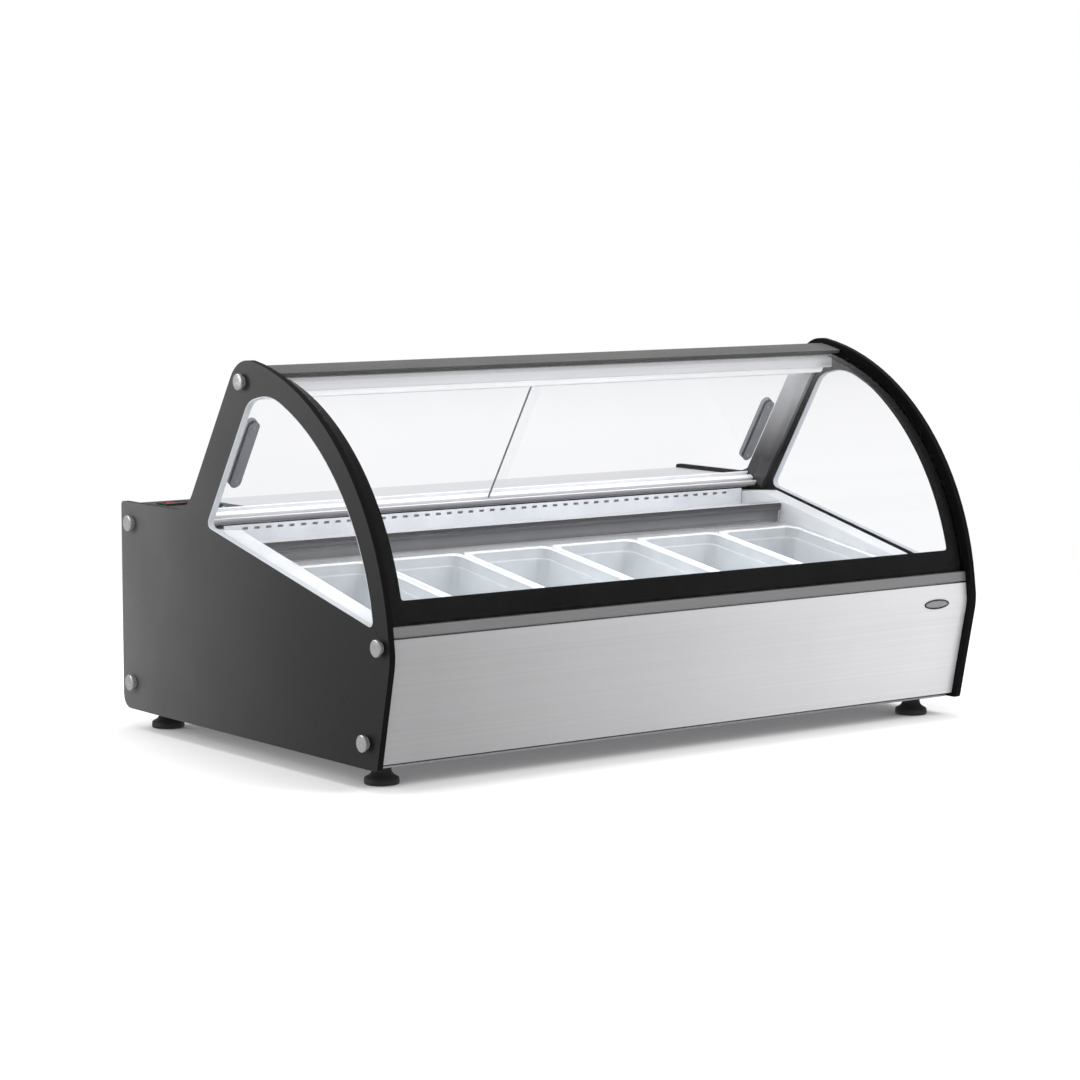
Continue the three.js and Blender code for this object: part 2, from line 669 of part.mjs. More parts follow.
// Openings in the shelf and the control panel for the controller's body and the two rockers.
function controlOpenings() {
  const heights = [SHELF_TOP - 30, SHELF_TOP + 20];
  const { depth, half, reach } = CONTROLLER;
  const { x } = CONTROLS;
  const openings = [
    cabinetBlock([x - half + 3, x + half - 3], [depth - reach + 3, depth + reach - 3], heights),
  ];
  for (const at of Object.values(ROCKER_XS)) {
    const across = [at - ROCKER.half - 1, at + ROCKER.half + 1];
    openings.push(
      cabinetBlock(across, [ROCKER.depth - ROCKER.reach - 1, ROCKER.depth + ROCKER.reach + 1], heights),
    );
  }
  return openings;
}

// A tray turned upside down: its rear and front edges are folded down.
function rearShelf() {
  const back = 3;
  const under = SHELF_TOP - 3;
  const fold = SHELF_TOP - 22;
  const section = [
    [back, fold],
    [back + SHEET, fold],
    [back + SHEET, under],
    [SHELF_FRONT - SHEET, under],
    [SHELF_FRONT - SHEET, fold + 2],
    [SHELF_FRONT, fold + 2],
    [SHELF_FRONT, SHELF_TOP],
    [back, SHELF_TOP],
  ];
  return cut(acrossCabinet(section, -PANEL_INSIDE + 1, PANEL_INSIDE - 1), ...controlOpenings());
}

function controlPanel() {
  const { x, half, depths } = CONTROLS;
  const plate = cabinetBlock([x - half, x + half], depths, [SHELF_TOP + GAP, CONTROL_TOP]);
  return cut(plate, ...controlOpenings());
}

const KEY = { half: 4, reach: 2.5, travel: 0.8 };
const KEY_XS = { up: CONTROLS.x + 18, down: CONTROLS.x + 30 };
const BEZEL_TOP = CONTROL_TOP + GAP + 2.5;

function temperatureController() {
  const { depth, half, reach } = CONTROLLER;
  const { x } = CONTROLS;
  const tools = [
    cabinetBlock([x - half + 5, x + 10], [depth - 11, depth + 11], [BEZEL_TOP - 1.2, BEZEL_TOP + 5]),
  ];
  for (const at of Object.values(KEY_XS)) {
    const across = [at - KEY.half - 0.5, at + KEY.half + 0.5];
    const along = [depth - KEY.reach - 0.5, depth + KEY.reach + 0.5];
    tools.push(cabinetBlock(across, along, [BEZEL_TOP - 4, BEZEL_TOP + 5]));
  }
  const bezel = cabinetBlock(
    [x - half, x + half],
    [depth - reach, depth + reach],
    [CONTROL_TOP + GAP, BEZEL_TOP],
  );
  const body = cabinetBlock(
    [x - half + 4, x + half - 4],
    [depth - reach + 4, depth + reach - 4],
    [SHELF_TOP - 45, CONTROL_TOP + 1],
  );
  return cut(join(bezel, body), ...tools);
}

add("base_tray", baseTray(), GALVANISED);
add("rear_panel", rearPanel(), GALVANISED);
add("rear_shelf", rearShelf(), BRUSHED_STEEL);
add("power_inlet", powerInlet(), BLACK_PLASTIC);
add("control_panel", controlPanel(), BLACK_PLASTIC);
add("temperature_controller", temperatureController(), BLACK_PLASTIC);

for (const [name, x] of Object.entries(KEY_XS)) {
  const key = block([-KEY.half, KEY.half], [-KEY.reach, KEY.reach], [-2.2, 0]);
  add(`temperature_${name}_key`, key, GREY_PLASTIC).position.set(
    x,
    DEPTH / 2 - CONTROLLER.depth,
    BEZEL_TOP + KEY.travel,
  );
}

// A rocker cap: two faces that meet in a shallow valley, over a rounded underside.
const ROCKER_TILT = 8;

function rockerCap() {
  const { half, reach } = ROCKER;
  const section = [
    [-reach, -1],
    [-reach * 0.7, -5],
    [reach * 0.7, -5],
    [reach, -1],
    [reach, 2.4],
    [0, 1],
    [-reach, 2.4],
  ];
  const cap = new THREE.ExtrudeGeometry(shapeOf(section), { depth: 2 * half, bevelEnabled: false });
  return cap.translate(0, 0, -half).rotateX(Math.PI / 2).rotateZ(Math.PI / 2);
}

for (const [name, x] of Object.entries(ROCKER_XS)) {
  const rocker = add(`${name}_switch_rocker`, rockerCap(), BLACK_PLASTIC);
  rocker.position.set(x, DEPTH / 2 - ROCKER.depth, CONTROL_TOP);
  rocker.rotation.x = radians(-ROCKER_TILT);
}

// ------------------------------------------------ condensing unit
const UNIT_DEPTH = 108; // middle of the machine bay
const FAN_HEIGHT = 114;
const COMPRESSOR_X = 345;
const CONDENSER = { middle: 115, half: 27, core: 23, reach: 72, top: 186, fins: 9 };
const SHROUD = { back: 146, plate: 12, reach: 76, mouth: 66, motor: 28 };

function compressor() {
  const can = turned([
    [0, 0],
    [46, 0],
    [58, 8],
    [62, 22],
    [62, 62],
    [64, 64],
    [64, 68],
    [60, 104],
    [50, 124],
    [30, 136],
    [0, 140],
  ], 20);
  const base = block([-74, 74], [-66, 66], [-3, 1]);
  const grommets = [];
  for (const dx of [-62, 62]) {
    for (const dy of [-54, 54]) {
      grommets.push(rodUp(9, 7, 12).translate(dx, dy, -5));
    }
  }
  const terminals = block([52, 84], [-20, 20], [34, 86]);
  return join(can, base, terminals, ...grommets);
}

const compressorMesh = add("compressor", compressor(), MOTOR_BLACK);
compressorMesh.position.set(COMPRESSOR_X, DEPTH / 2 - UNIT_DEPTH, TRAY_TOP + 9);

function condenserCoil() {
  const { middle, half, core, reach, top, fins } = CONDENSER;
  const [back, front] = [UNIT_DEPTH - reach, UNIT_DEPTH + reach];
  const pieces = [cabinetBlock([middle - core, middle + core], [back, front], [50, top - 8])];
  for (let i = 0; i < fins; i++) {
    const depth = back + ((front - back) * i) / (fins - 1);
    const depths = [depth - 1.2, depth + 1.2];
    pieces.push(cabinetBlock([middle - half, middle + half], depths, [TRAY_TOP + 1, top]));
  }
  return join(...pieces);
}

// A square plate with a round mouth; three arms hold the motor behind the fan.
function condenserFanShroud() {
  const { back, plate, reach, mouth, motor } = SHROUD;
  const middle = DEPTH / 2 - UNIT_DEPTH;
  const armEnd = back + 32;
  const heights = [TRAY_TOP + 1, FAN_HEIGHT + reach];
  const sheet = block([back, back + plate], [middle - reach, middle + reach], heights);
  const pieces = [
    cut(sheet, rodAcross(mouth, 3 * plate, 36).translate(back + plate / 2, middle, FAN_HEIGHT)),
    rodAcross(motor, 42, 24).translate(armEnd + 15, middle, FAN_HEIGHT),
  ];
  for (const turn of [0, 120, 240]) {
    const arm = block([armEnd - 6, armEnd], [-4, 4], [0, mouth + 8]);
    const post = block([back + 4, armEnd], [-4, 4], [mouth + 1, mouth + 8]);
    for (const strut of [arm, post]) {
      pieces.push(strut.rotateX(radians(turn)).translate(0, middle, FAN_HEIGHT));
    }
  }
  return join(...pieces);
}

add("condenser_coil", condenserCoil(), GALVANISED);
add("condenser_fan_shroud", condenserFanShroud(), GALVANISED);
const condenserFan = add("condenser_fan", fanWheel(60, 18, 18, 5), MOTOR_BLACK);
condenserFan.position.set(SHROUD.back + SHROUD.plate, DEPTH / 2 - UNIT_DEPTH, FAN_HEIGHT);
condenserFan.rotation.y = Math.PI / 2;

// A tube swept along a smooth curve through [x, depth, height] points.
function pipe(radius, points, steps) {
  const path = new THREE.CatmullRomCurve3(
    points.map(([x, depth, height]) => new THREE.Vector3(x, DEPTH / 2 - depth, height)),
    false,
    "catmullrom",
    0.4,
  );
  const circle = shapeOf(arcPoints({ depth: 0, height: 0, radius }, 0, 0, 300, 5));
  return new THREE.ExtrudeGeometry(circle, { steps, extrudePath: path, bevelEnabled: false });
}

const [suctionHole, liquidHole] = LINE_PLACES;
const coilEnd = EVAPORATOR.half + 4;
add(
  "suction_line",
  pipe(5, [
    [380, UNIT_DEPTH, 188],
    [400, UNIT_DEPTH + 4, 204],
    [440, UNIT_DEPTH + 20, 190],
    [suctionHole.x, 150, 158],
    [suctionHole.x, 192, 150],
    [suctionHole.x, 245, 150],
    [430, 276, 150],
    [coilEnd, 282, 150],
  ], 32),
  COPPER,
);
add(
  "liquid_line",
  pipe(3.2, [
    [100, UNIT_DEPTH, 190],
    [120, UNIT_DEPTH + 6, 216],
    [220, UNIT_DEPTH + 40, 236],
    [430, UNIT_DEPTH + 46, 226],
    [liquidHole.x, 150, 180],
    [liquidHole.x, 184, 150],
    [liquidHole.x, 245, 150],
    [460, 272, 134],
    [coilEnd, 282, 120],
  ], 36),
  COPPER,
);

// ------------------------------------------------ rear doors
// The group leans with the posts: -Y is `off` and +Z is `up` of doorPoint.
const doorway = new THREE.Group();
doorway.position.set(0, DEPTH / 2 - DOOR_FOOT.depth, DOOR_FOOT.height);
doorway.rotation.x = radians(90 - DOOR_SLOPE);
cabinet.add(doorway);

const leaning = (across, [rear, front], heights) => block(across, [-front, -rear], heights);

const DOORS = {
  left: { side: -1, off: 9 }, // outer track
  right: { side: 1, off: 26 }, // inner track
};
const DOOR_HALF = 564.5; // outer edge of a closed door
const DOOR_LAP = 18; // each door passes the middle by this much
const DOOR_UP = [-20, 226];
const TRACK_OFF = [5, 35];
const TRACK_HALF = PANEL_INSIDE - 10;
const JAMB = { outside: PANEL_INSIDE - GAP, thick: 9, offs: [1, 50], ups: [-20, 233] };
const GROOVE_ROOM = 1.5; // between a door and each rib of its groove

// A channel with two grooves; `up` is the web's range and `lip` the far end of its ribs.
function doorTrack(up, lip) {
  const across = [-TRACK_HALF, TRACK_HALF];
  const ribRange = [Math.min(up[0], lip), Math.max(up[1], lip)];
  const [rear, front] = TRACK_OFF;
  const grooveEnd = GLASS + GROOVE_ROOM;
  const ribs = [
    [rear, DOORS.left.off - GROOVE_ROOM],
    [DOORS.left.off + grooveEnd, DOORS.right.off - GROOVE_ROOM],
    [DOORS.right.off + grooveEnd, front],
  ];
  return join(leaning(across, TRACK_OFF, up), ...ribs.map((range) => leaning(across, range, ribRange)));
}

addPair(
  "door_jamb",
  (side) => leaning(layer(side, JAMB.outside - JAMB.thick, JAMB.outside), JAMB.offs, JAMB.ups),
  ALUMINIUM,
  doorway,
);
add("lower_door_track", doorTrack([-26, -23], -16), ALUMINIUM, doorway);
add("upper_door_track", doorTrack([229, 235], 216), ALUMINIUM, doorway);

// A capsule-shaped pull with a sunk grip, screwed to the back of the glass.
const PULL = { x: 522, up: 93.5, length: 127, half: 10, thick: 8, gripHalf: 5, gripReach: 34 };

function doorPull() {
  const { length, half: radius, thick, gripHalf, gripReach } = PULL;
  const straight = length / 2 - radius;
  const outline = [
    ...arcPoints({ depth: 0, height: straight, radius }, 0, 0, 180, 8),
    ...arcPoints({ depth: 0, height: -straight, radius }, 0, 180, 360, 8),
  ];
  const capsule = new THREE.ExtrudeGeometry(shapeOf(outline), { depth: thick, bevelEnabled: false })
    .rotateX(Math.PI / 2)
    .translate(0, thick, 0);
  return cut(capsule, block([-gripHalf, gripHalf], [thick / 2, 2 * thick], [-gripReach, gripReach]));
}

for (const [name, { side, off }] of Object.entries(DOORS)) {
  const across = side > 0 ? [-DOOR_LAP, DOOR_HALF] : [-DOOR_HALF, DOOR_LAP];
  add(`${name}_door_glass`, leaning(across, [off, off + GLASS], DOOR_UP), CLEAR, doorway);
  const pull = add(`${name}_door_pull`, doorPull(), GREY_PLASTIC, doorway);
  pull.position.set(side * PULL.x, -off + GAP, PULL.up);
}

// ------------------------------------------------ levelling feet
function foot() {
  return turned([
    [0, 0],
    [25, 0],
    [26.6, 2],
    [26.6, 7],
    [24.5, 10],
    [19, 14],
    [14.5, 20],
    [14.5, FOOT_HEIGHT - 0.1],
    [0, FOOT_HEIGHT - 0.1],
  ], 20);
}

for (const [place, depth] of Object.entries(FOOT_DEPTHS)) {
  for (const [sideName, side] of [["left", -1], ["right", 1]]) {
    const mesh = add(`${place}_${sideName}_foot`, foot(), RUBBER);
    mesh.position.set(side * FOOT_X, DEPTH / 2 - depth, 0);
  }
}

export default cabinet;
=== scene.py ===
# The looks of a countertop ice cream dipping cabinet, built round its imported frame.
# Metres throughout: +X is the customer's right, +Z is up, and the curved glass faces -Y.
import json
import math

import bmesh
import bpy
import numpy as np
from mathutils import Matrix, Vector


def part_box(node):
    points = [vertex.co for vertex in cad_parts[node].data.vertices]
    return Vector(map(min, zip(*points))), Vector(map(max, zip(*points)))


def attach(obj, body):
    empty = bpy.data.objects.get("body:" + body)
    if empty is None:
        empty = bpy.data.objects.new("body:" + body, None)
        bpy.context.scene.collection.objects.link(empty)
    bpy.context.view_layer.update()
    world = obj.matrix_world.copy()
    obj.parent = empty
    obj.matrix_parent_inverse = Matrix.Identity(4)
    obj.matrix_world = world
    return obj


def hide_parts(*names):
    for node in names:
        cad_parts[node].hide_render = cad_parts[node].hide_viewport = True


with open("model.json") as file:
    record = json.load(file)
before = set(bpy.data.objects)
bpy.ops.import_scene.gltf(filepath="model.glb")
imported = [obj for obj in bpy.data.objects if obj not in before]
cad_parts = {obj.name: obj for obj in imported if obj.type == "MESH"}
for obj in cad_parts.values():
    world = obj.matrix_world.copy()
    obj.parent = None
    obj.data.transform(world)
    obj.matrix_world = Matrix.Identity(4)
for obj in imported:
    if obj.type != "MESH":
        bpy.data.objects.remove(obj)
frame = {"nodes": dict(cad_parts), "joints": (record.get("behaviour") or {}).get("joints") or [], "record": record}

MM = 0.001
X, Y, Z = 0, 1, 2
ACROSS = Vector((1, 0, 0))
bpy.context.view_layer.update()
NODES = frame["nodes"]
SLOT_OF = {part["node"]: part["material_slot"] for part in frame["record"]["subparts"]}
BODY_OF = {
    node: body
    for body, nodes in frame["record"]["behaviour"]["bodies"].items()
    for node in nodes
}
SIDES = {"left": -1, "right": 1}


# ---------------------------------------------------------------- material building
class Recipe:
    """One material, with short calls that add to its node tree."""

    def __init__(self, name):
        self.material = bpy.data.materials.new(name)
        self.material.use_nodes = True
        self.tree = self.material.node_tree
        self.shader = self.tree.nodes["Principled BSDF"]
        self.output = self.tree.nodes["Material Output"]

    def add(self, kind, **settings):
        node = self.tree.nodes.new(kind)
        for key, value in settings.items():
            setattr(node, key, value)
        return node

    def link(self, source, target):
        self.tree.links.new(source, target)

    def feed(self, target, value):
        """Links an output to an input, or sets the input to a plain value."""
        if isinstance(value, bpy.types.NodeSocket):
            self.link(value, target)
        else:
            target.default_value = value

    def where(self, stretch=(1, 1, 1)):
        mapping = self.add("ShaderNodeMapping")
        mapping.inputs["Scale"].default_value = stretch
        self.link(self.add("ShaderNodeTexCoord").outputs["Object"], mapping.inputs["Vector"])
        return mapping.outputs["Vector"]

    def noise(self, scale, detail=3.0, stretch=(1, 1, 1)):
        node = self.add("ShaderNodeTexNoise")
        node.inputs["Scale"].default_value = scale
        node.inputs["Detail"].default_value = detail
        self.link(self.where(stretch), node.inputs["Vector"])
        return node.outputs["Fac"]

    def along(self, axis):
        """One coordinate of the point being shaded, in metres."""
        split = self.add("ShaderNodeSeparateXYZ")
        self.link(self.where(), split.inputs[0])
        return split.outputs[axis]

    def cells(self, scale, stretch=(1, 1, 1)):
        node = self.add("ShaderNodeTexVoronoi")
        node.inputs["Scale"].default_value = scale
        self.link(self.where(stretch), node.inputs["Vector"])
        return node.outputs["Color"]

    def maths(self, operation, a, b):
        node = self.add("ShaderNodeMath", operation=operation)
        self.feed(node.inputs[0], a)
        self.feed(node.inputs[1], b)
        return node.outputs[0]

    def between(self, factor, low, high, ends=(0.3, 0.7)):
        """A number that runs from low to high as factor runs between the two ends."""
        node = self.add("ShaderNodeMapRange")
        self.feed(node.inputs["Value"], factor)
        node.inputs["From Min"].default_value = ends[0]
        node.inputs["From Max"].default_value = ends[1]
        node.inputs["To Min"].default_value = low
        node.inputs["To Max"].default_value = high
        return node.outputs["Result"]

    def tones(self, factor, dark, light, ends=(0.3, 0.7)):
        node = self.add("ShaderNodeValToRGB")
        first, last = node.color_ramp.elements
        first.position, last.position = ends
        first.color, last.color = (*dark, 1), (*light, 1)
        self.feed(node.inputs["Fac"], factor)
        return node.outputs["Color"]

    def bump(self, height, strength, depth):
        node = self.add("ShaderNodeBump")
        node.inputs["Strength"].default_value = strength
        node.inputs["Distance"].default_value = depth
        self.link(height, node.inputs["Height"])
        self.link(node.outputs["Normal"], self.shader.inputs["Normal"])

    def set(self, **values):
        for key, value in values.items():
            self.feed(self.shader.inputs[key.replace("_", " ")], value)

    def edge_glow(self, base, power=5.0):
        """Schlick's rise of reflection towards grazing angles, the same on both faces of a pane."""
        facing = self.add("ShaderNodeLayerWeight")
        facing.inputs["Blend"].default_value = 0.5
        rise = self.maths("POWER", facing.outputs["Facing"], power)
        return self.maths("ADD", self.maths("MULTIPLY", rise, 1 - base), base)

    def see_through(self, share, tint):
        """Mixes the shader with plain transparency: share is how solid it is."""
        clear = self.add("ShaderNodeBsdfTransparent")
        self.feed(clear.inputs["Color"], tint)
        mix = self.add("ShaderNodeMixShader")
        self.feed(mix.inputs["Fac"], share)
        self.link(clear.outputs[0], mix.inputs[1])
        self.link(self.shader.outputs[0], mix.inputs[2])
        self.link(mix.outputs[0], self.output.inputs["Surface"])


def grey(value, blue=1.0):
    return (value, value, value * blue)


# ---------------------------------------------------------------- materials
def powder_coat(name, tone, roughness, painted_sheen=0.0):
    """Satin paint with a fine orange peel.

    Its last argument is painted light: a painted highlight put into the tone on faces that look out to the sides,
    most of it towards the rear.
    """
    recipe = Recipe(name)
    facing = recipe.add("ShaderNodeSeparateXYZ")
    recipe.link(recipe.add("ShaderNodeNewGeometry").outputs["Normal"], facing.inputs[0])
    outwards = recipe.maths("MULTIPLY", facing.outputs[X], recipe.maths("SIGN", recipe.along(X), 0))
    sideways = recipe.between(outwards, 0.0, 1.0, (0.8, 0.98))
    from_front = recipe.between(recipe.along(Y), 0.0, 1.0, (-0.39, 0.39))
    rearwards = recipe.maths("POWER", from_front, 2.0)
    # Painted highlight: the outward side faces get lighter towards the rear.
    painted_sheen_tone = recipe.maths("MULTIPLY", recipe.maths("MULTIPLY", sideways, rearwards), painted_sheen)
    cloud = recipe.between(recipe.noise(9, detail=4), 0.92, 1.08)
    shade = recipe.maths("MULTIPLY", cloud, recipe.maths("ADD", painted_sheen_tone, tone))
    recipe.set(
        Base_Color=recipe.tones(shade, grey(0), grey(1), (0, 1)),
        Roughness=recipe.between(recipe.noise(160), roughness - 0.05, roughness + 0.05),
        Specular_IOR_Level=recipe.between(sideways, 0.05, 0.33, (0, 1)),
    )
    recipe.bump(recipe.noise(1400, detail=2), 0.12, 0.05 * MM)
    return recipe.material


def brushed_steel(
    name, tones, roughness, grain=(3, 700, 700), depth=0.04 * MM, metallic=0.6, axis=X, ends=(-0.5, 0.5)
):
    """Metal with its grain along the axis that `grain` stretches least.

    `tones` are its tones where the coordinate on `axis` passes the two `ends`; where the two differ, the change
    between them is painted light and shade, not the metal's own colour.
    """
    recipe = Recipe(name)
    lines = recipe.noise(1, detail=6, stretch=grain)
    cloud = recipe.noise(3.5, detail=2)
    both = recipe.maths(
        "ADD", recipe.maths("MULTIPLY", lines, 0.7), recipe.maths("MULTIPLY", cloud, 0.3)
    )
    # Painted light and shade: a gradient between the two tones along the axis.
    tone_with_painted_light = recipe.between(recipe.along(axis), tones[0], tones[1], ends)
    shade = recipe.maths("MULTIPLY", recipe.between(both, 0.93, 1.07), tone_with_painted_light)
    recipe.set(
        Metallic=metallic,
        Base_Color=recipe.tones(shade, grey(0), grey(1, 1.02), (0, 1)),
        Roughness=recipe.between(lines, roughness - 0.07, roughness + 0.07),
    )
    recipe.bump(lines, 0.35, depth)
    return recipe.material


def galvanised(name, tone):
    """Zinc-coated sheet with its spangle."""
    recipe = Recipe(name)
    spangle = recipe.cells(110)
    recipe.set(
        Metallic=0.9,
        Base_Color=recipe.tones(spangle, grey(tone * 0.9, 1.03), grey(tone * 1.06, 1.03), (0.1, 0.9)),
        Roughness=recipe.between(recipe.noise(60), 0.38, 0.58),
    )
    recipe.bump(recipe.noise(500), 0.1, 0.05 * MM)
    return recipe.material


def moulded(name, colour, roughness, grain=900, strength=0.25, gloss=0.5):
    """Moulded plastic or rubber with an even surface grain."""
    recipe = Recipe(name)
    dark = tuple(c * 0.92 for c in colour)
    light = tuple(min(1.0, c * 1.05) for c in colour)
    recipe.set(
        Base_Color=recipe.tones(recipe.noise(14, detail=4), dark, light),
        Roughness=recipe.between(recipe.noise(220), roughness - 0.05, roughness + 0.05),
    )
    recipe.shader.inputs["Specular IOR Level"].default_value = gloss
    recipe.bump(recipe.noise(grain, detail=2), strength, 0.04 * MM)
    return recipe.material


def copper(name):
    """Drawn copper tube with darker patches."""
    recipe = Recipe(name)
    patches = recipe.noise(35, detail=5)
    recipe.set(
        Metallic=1.0,
        Base_Color=recipe.tones(patches, (0.36, 0.16, 0.08), (0.74, 0.4, 0.25)),
        Roughness=recipe.between(patches, 0.42, 0.24),
    )
    recipe.bump(recipe.noise(700), 0.08, 0.03 * MM)
    return recipe.material


def clear_pane(name, tint, base=0.006):
    """Window glass: see-through, and more of a mirror towards grazing angles."""
    recipe = Recipe(name)
    recipe.set(
        Metallic=1.0,
        Base_Color=(*grey(0.95), 1),
        Roughness=recipe.between(recipe.noise(5), 0.015, 0.035),
    )
    smears = recipe.between(recipe.noise(7, detail=5), 0.0, 0.003)
    share = recipe.maths("ADD", recipe.edge_glow(base), smears)
    recipe.see_through(share, (*tint, 1))
    return recipe.material


def printed_black(name):
    """The ceramic print fired onto the back of a pane."""
    recipe = Recipe(name)
    speckle = recipe.noise(900, detail=2)
    recipe.set(
        Base_Color=recipe.tones(speckle, grey(0.003), grey(0.005)),
        Roughness=recipe.between(recipe.noise(40), 0.2, 0.32),
    )
    recipe.shader.inputs["Specular IOR Level"].default_value = 0.04
    recipe.bump(speckle, 0.05, 0.02 * MM)
    return recipe.material


def pan_plastic(name, solid):
    """Clear polycarbonate, slightly frosted by use; `solid` is how white it looks face on."""
    recipe = Recipe(name)
    frost = recipe.noise(26, detail=6)
    recipe.set(
        Base_Color=recipe.tones(frost, (0.92, 0.945, 0.965), (0.96, 0.98, 1.0)),
        Roughness=recipe.between(frost, 0.12, 0.26),
    )
    recipe.bump(recipe.noise(60, detail=4), 0.04, 0.2 * MM)
    share = recipe.maths("ADD", recipe.edge_glow(solid, 2.2), recipe.between(frost, 0.0, 0.04))
    recipe.see_through(share, (0.97, 0.985, 0.99, 1))
    return recipe.material


def lamp_glow(name, strength):
    """An opal diffuser that is lit from inside."""
    recipe = Recipe(name)
    bands = recipe.noise(1, detail=1, stretch=(30, 1, 1))
    recipe.set(
        Base_Color=(*grey(0.92), 1),
        Roughness=0.35,
        Emission_Color=(0.97, 0.985, 1, 1),
        Emission_Strength=recipe.between(bands, strength * 0.9, strength * 1.1),
    )
    return recipe.material


def display_light(name, colour, strength):
    """A lit display segment or indicator lens, bright only when seen square on."""
    recipe = Recipe(name)
    facing = recipe.add("ShaderNodeLayerWeight").outputs["Facing"]
    square_on = recipe.maths("POWER", recipe.maths("SUBTRACT", 1.0, facing), 2.0)
    grain = recipe.between(recipe.noise(400), strength * 0.85, strength * 1.15)
    recipe.set(
        Base_Color=(*(0.03 * c for c in colour), 1),
        Roughness=0.3,
        Emission_Color=(*colour, 1),
        Emission_Strength=recipe.maths("MULTIPLY", square_on, grain),
    )
    return recipe.material


FINE_GRAIN = 0.005 * MM
TRACK_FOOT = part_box("lower_door_track")[0][Z]

# Heights between which a look turns from its first tone to its second: painted light and shade, not the metal's
# own colour.
TRACK_PAINTED_SHADE = (TRACK_FOOT, TRACK_FOOT + 11 * MM)
BAR_PAINTED_SHADING = (0.304, 0.334)
JAMB_PAINTED_SHADING = (0.4, 0.56)

LOOKS = {
    # The side panels carry a painted highlight, lighter towards the rear.
    "panel paint": powder_coat("panel_paint", 0.005, 0.42, painted_sheen=0.088),
    "rail paint": powder_coat("rail_paint", 0.085, 0.36),
    # The front panel gets lighter from left to right: a painted reflection.
    "brushed": brushed_steel(
        "brushed_stainless", (0.46, 0.9), 0.38, grain=(0.8, 900, 900), depth=FINE_GRAIN
    ),
    "shelf": brushed_steel(
        "shelf_stainless", (0.8, 0.8), 0.34, grain=(1, 500, 500), depth=0.006 * MM, metallic=0.5
    ),
    "housing": brushed_steel(
        "lamp_housing_aluminium", (0.82, 0.82), 0.36, grain=(3, 420, 420), metallic=0.2
    ),
    "bright": brushed_steel(
        "bright_stainless", (0.78, 0.78), 0.3, grain=(1, 500, 500), depth=FINE_GRAIN
    ),
    # The lower track is dark at its foot and light above: painted shade at its foot.
    "track": brushed_steel(
        "track_aluminium", (0.16, 0.9), 0.3, grain=(4, 400, 400), metallic=0.1, axis=Z, ends=TRACK_PAINTED_SHADE
    ),
    "seal": moulded("seal_plastic", (0.12, 0.125, 0.14), 0.4, grain=900, strength=0.1),
    # The bar trim runs from light to dark towards its top: painted light and shade.
    "bar trim": brushed_steel(
        "bar_trim_steel", (0.26, 0.04), 0.3, grain=(1, 500, 500), depth=FINE_GRAIN, axis=Z, ends=BAR_PAINTED_SHADING
    ),
    "badge face": brushed_steel("badge_aluminium", (0.36, 0.36), 0.3, grain=(30, 300, 300)),
    "bolt steel": brushed_steel(
        "turned_stainless", (0.42, 0.42), 0.26, grain=(200, 40, 40), depth=0.02 * MM
    ),
    # The glass trim is a little lighter towards the right: a painted reflection, as on the front panel.
    "trim": brushed_steel("trim_aluminium", (0.24, 0.27), 0.38, grain=(6, 420, 420)),
    "aluminium": brushed_steel("satin_aluminium", (0.62, 0.62), 0.36, grain=(6, 420, 420)),
    # The jambs are dark low down and light up high: painted light and shade.
    "jamb": brushed_steel(
        "jamb_aluminium", (0.05, 0.6), 0.3, grain=(300, 6, 6), metallic=0.4, axis=Z, ends=JAMB_PAINTED_SHADING
    ),
    "galvanised": galvanised("galvanised_sheet", 0.5),
    "liner": moulded("liner_plastic", (0.76, 0.78, 0.8), 0.32, grain=350, strength=0.08),
    "duct": moulded("duct_plastic", (0.82, 0.84, 0.88), 0.4, grain=500, strength=0.1),
    "grey plastic": moulded("grey_plastic", (0.2, 0.205, 0.22), 0.34, grain=700, strength=0.15),
    "black plastic": moulded("black_plastic", (0.018, 0.018, 0.02), 0.45, grain=1200, strength=0.35),
    "enamel": powder_coat("compressor_enamel", 0.02, 0.3),
    "rubber": moulded("foot_rubber", (0.016, 0.016, 0.017), 0.58, grain=800, strength=0.4, gloss=0.35),
    "edging": moulded("edging_plastic", (0.52, 0.54, 0.57), 0.35, grain=900, strength=0.1),
    "copper": copper("copper_tube"),
    "glass": clear_pane("clear_glass", (0.991, 0.992, 0.996)),
    "print": printed_black("printed_border"),
    "pan": pan_plastic("pan_polycarbonate", 0.34),
    "pan rim": pan_plastic("pan_rim_polycarbonate", 0.75),
    "lamp": lamp_glow("opal_diffuser", 0.3),
    "digits": display_light("display_digits", (1.0, 0.06, 0.03), 3.0),
    "indicator": display_light("indicator_lens", (0.1, 0.9, 0.25), 1.6),
}


# ---------------------------------------------------------------- mesh building
def shade_by_angle(mesh, degrees=32):
    mesh.shade_smooth()
    mesh.set_sharp_from_angle(angle=math.radians(degrees))


def piece_of(name, mesh, look, body, slot):
    """Makes a piece from a mesh in the row frame, with one look or several, on a CAD body."""
    looks = look if isinstance(look, (list, tuple)) else [look]
    for one in looks:
        mesh.materials.append(LOOKS[one])
    piece = bpy.data.objects.new(name, mesh)
    bpy.context.scene.collection.objects.link(piece)
    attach(piece, body)
    return piece


def mesh_from(name, points, faces):
    mesh = bpy.data.meshes.new(name)
    mesh.from_pydata([tuple(p) for p in points], [], faces)
    shaper = bmesh.new()
    shaper.from_mesh(mesh)
    bmesh.ops.recalc_face_normals(shaper, faces=shaper.faces)
    shaper.to_mesh(mesh)
    shaper.free()
    shade_by_angle(mesh)
    return mesh


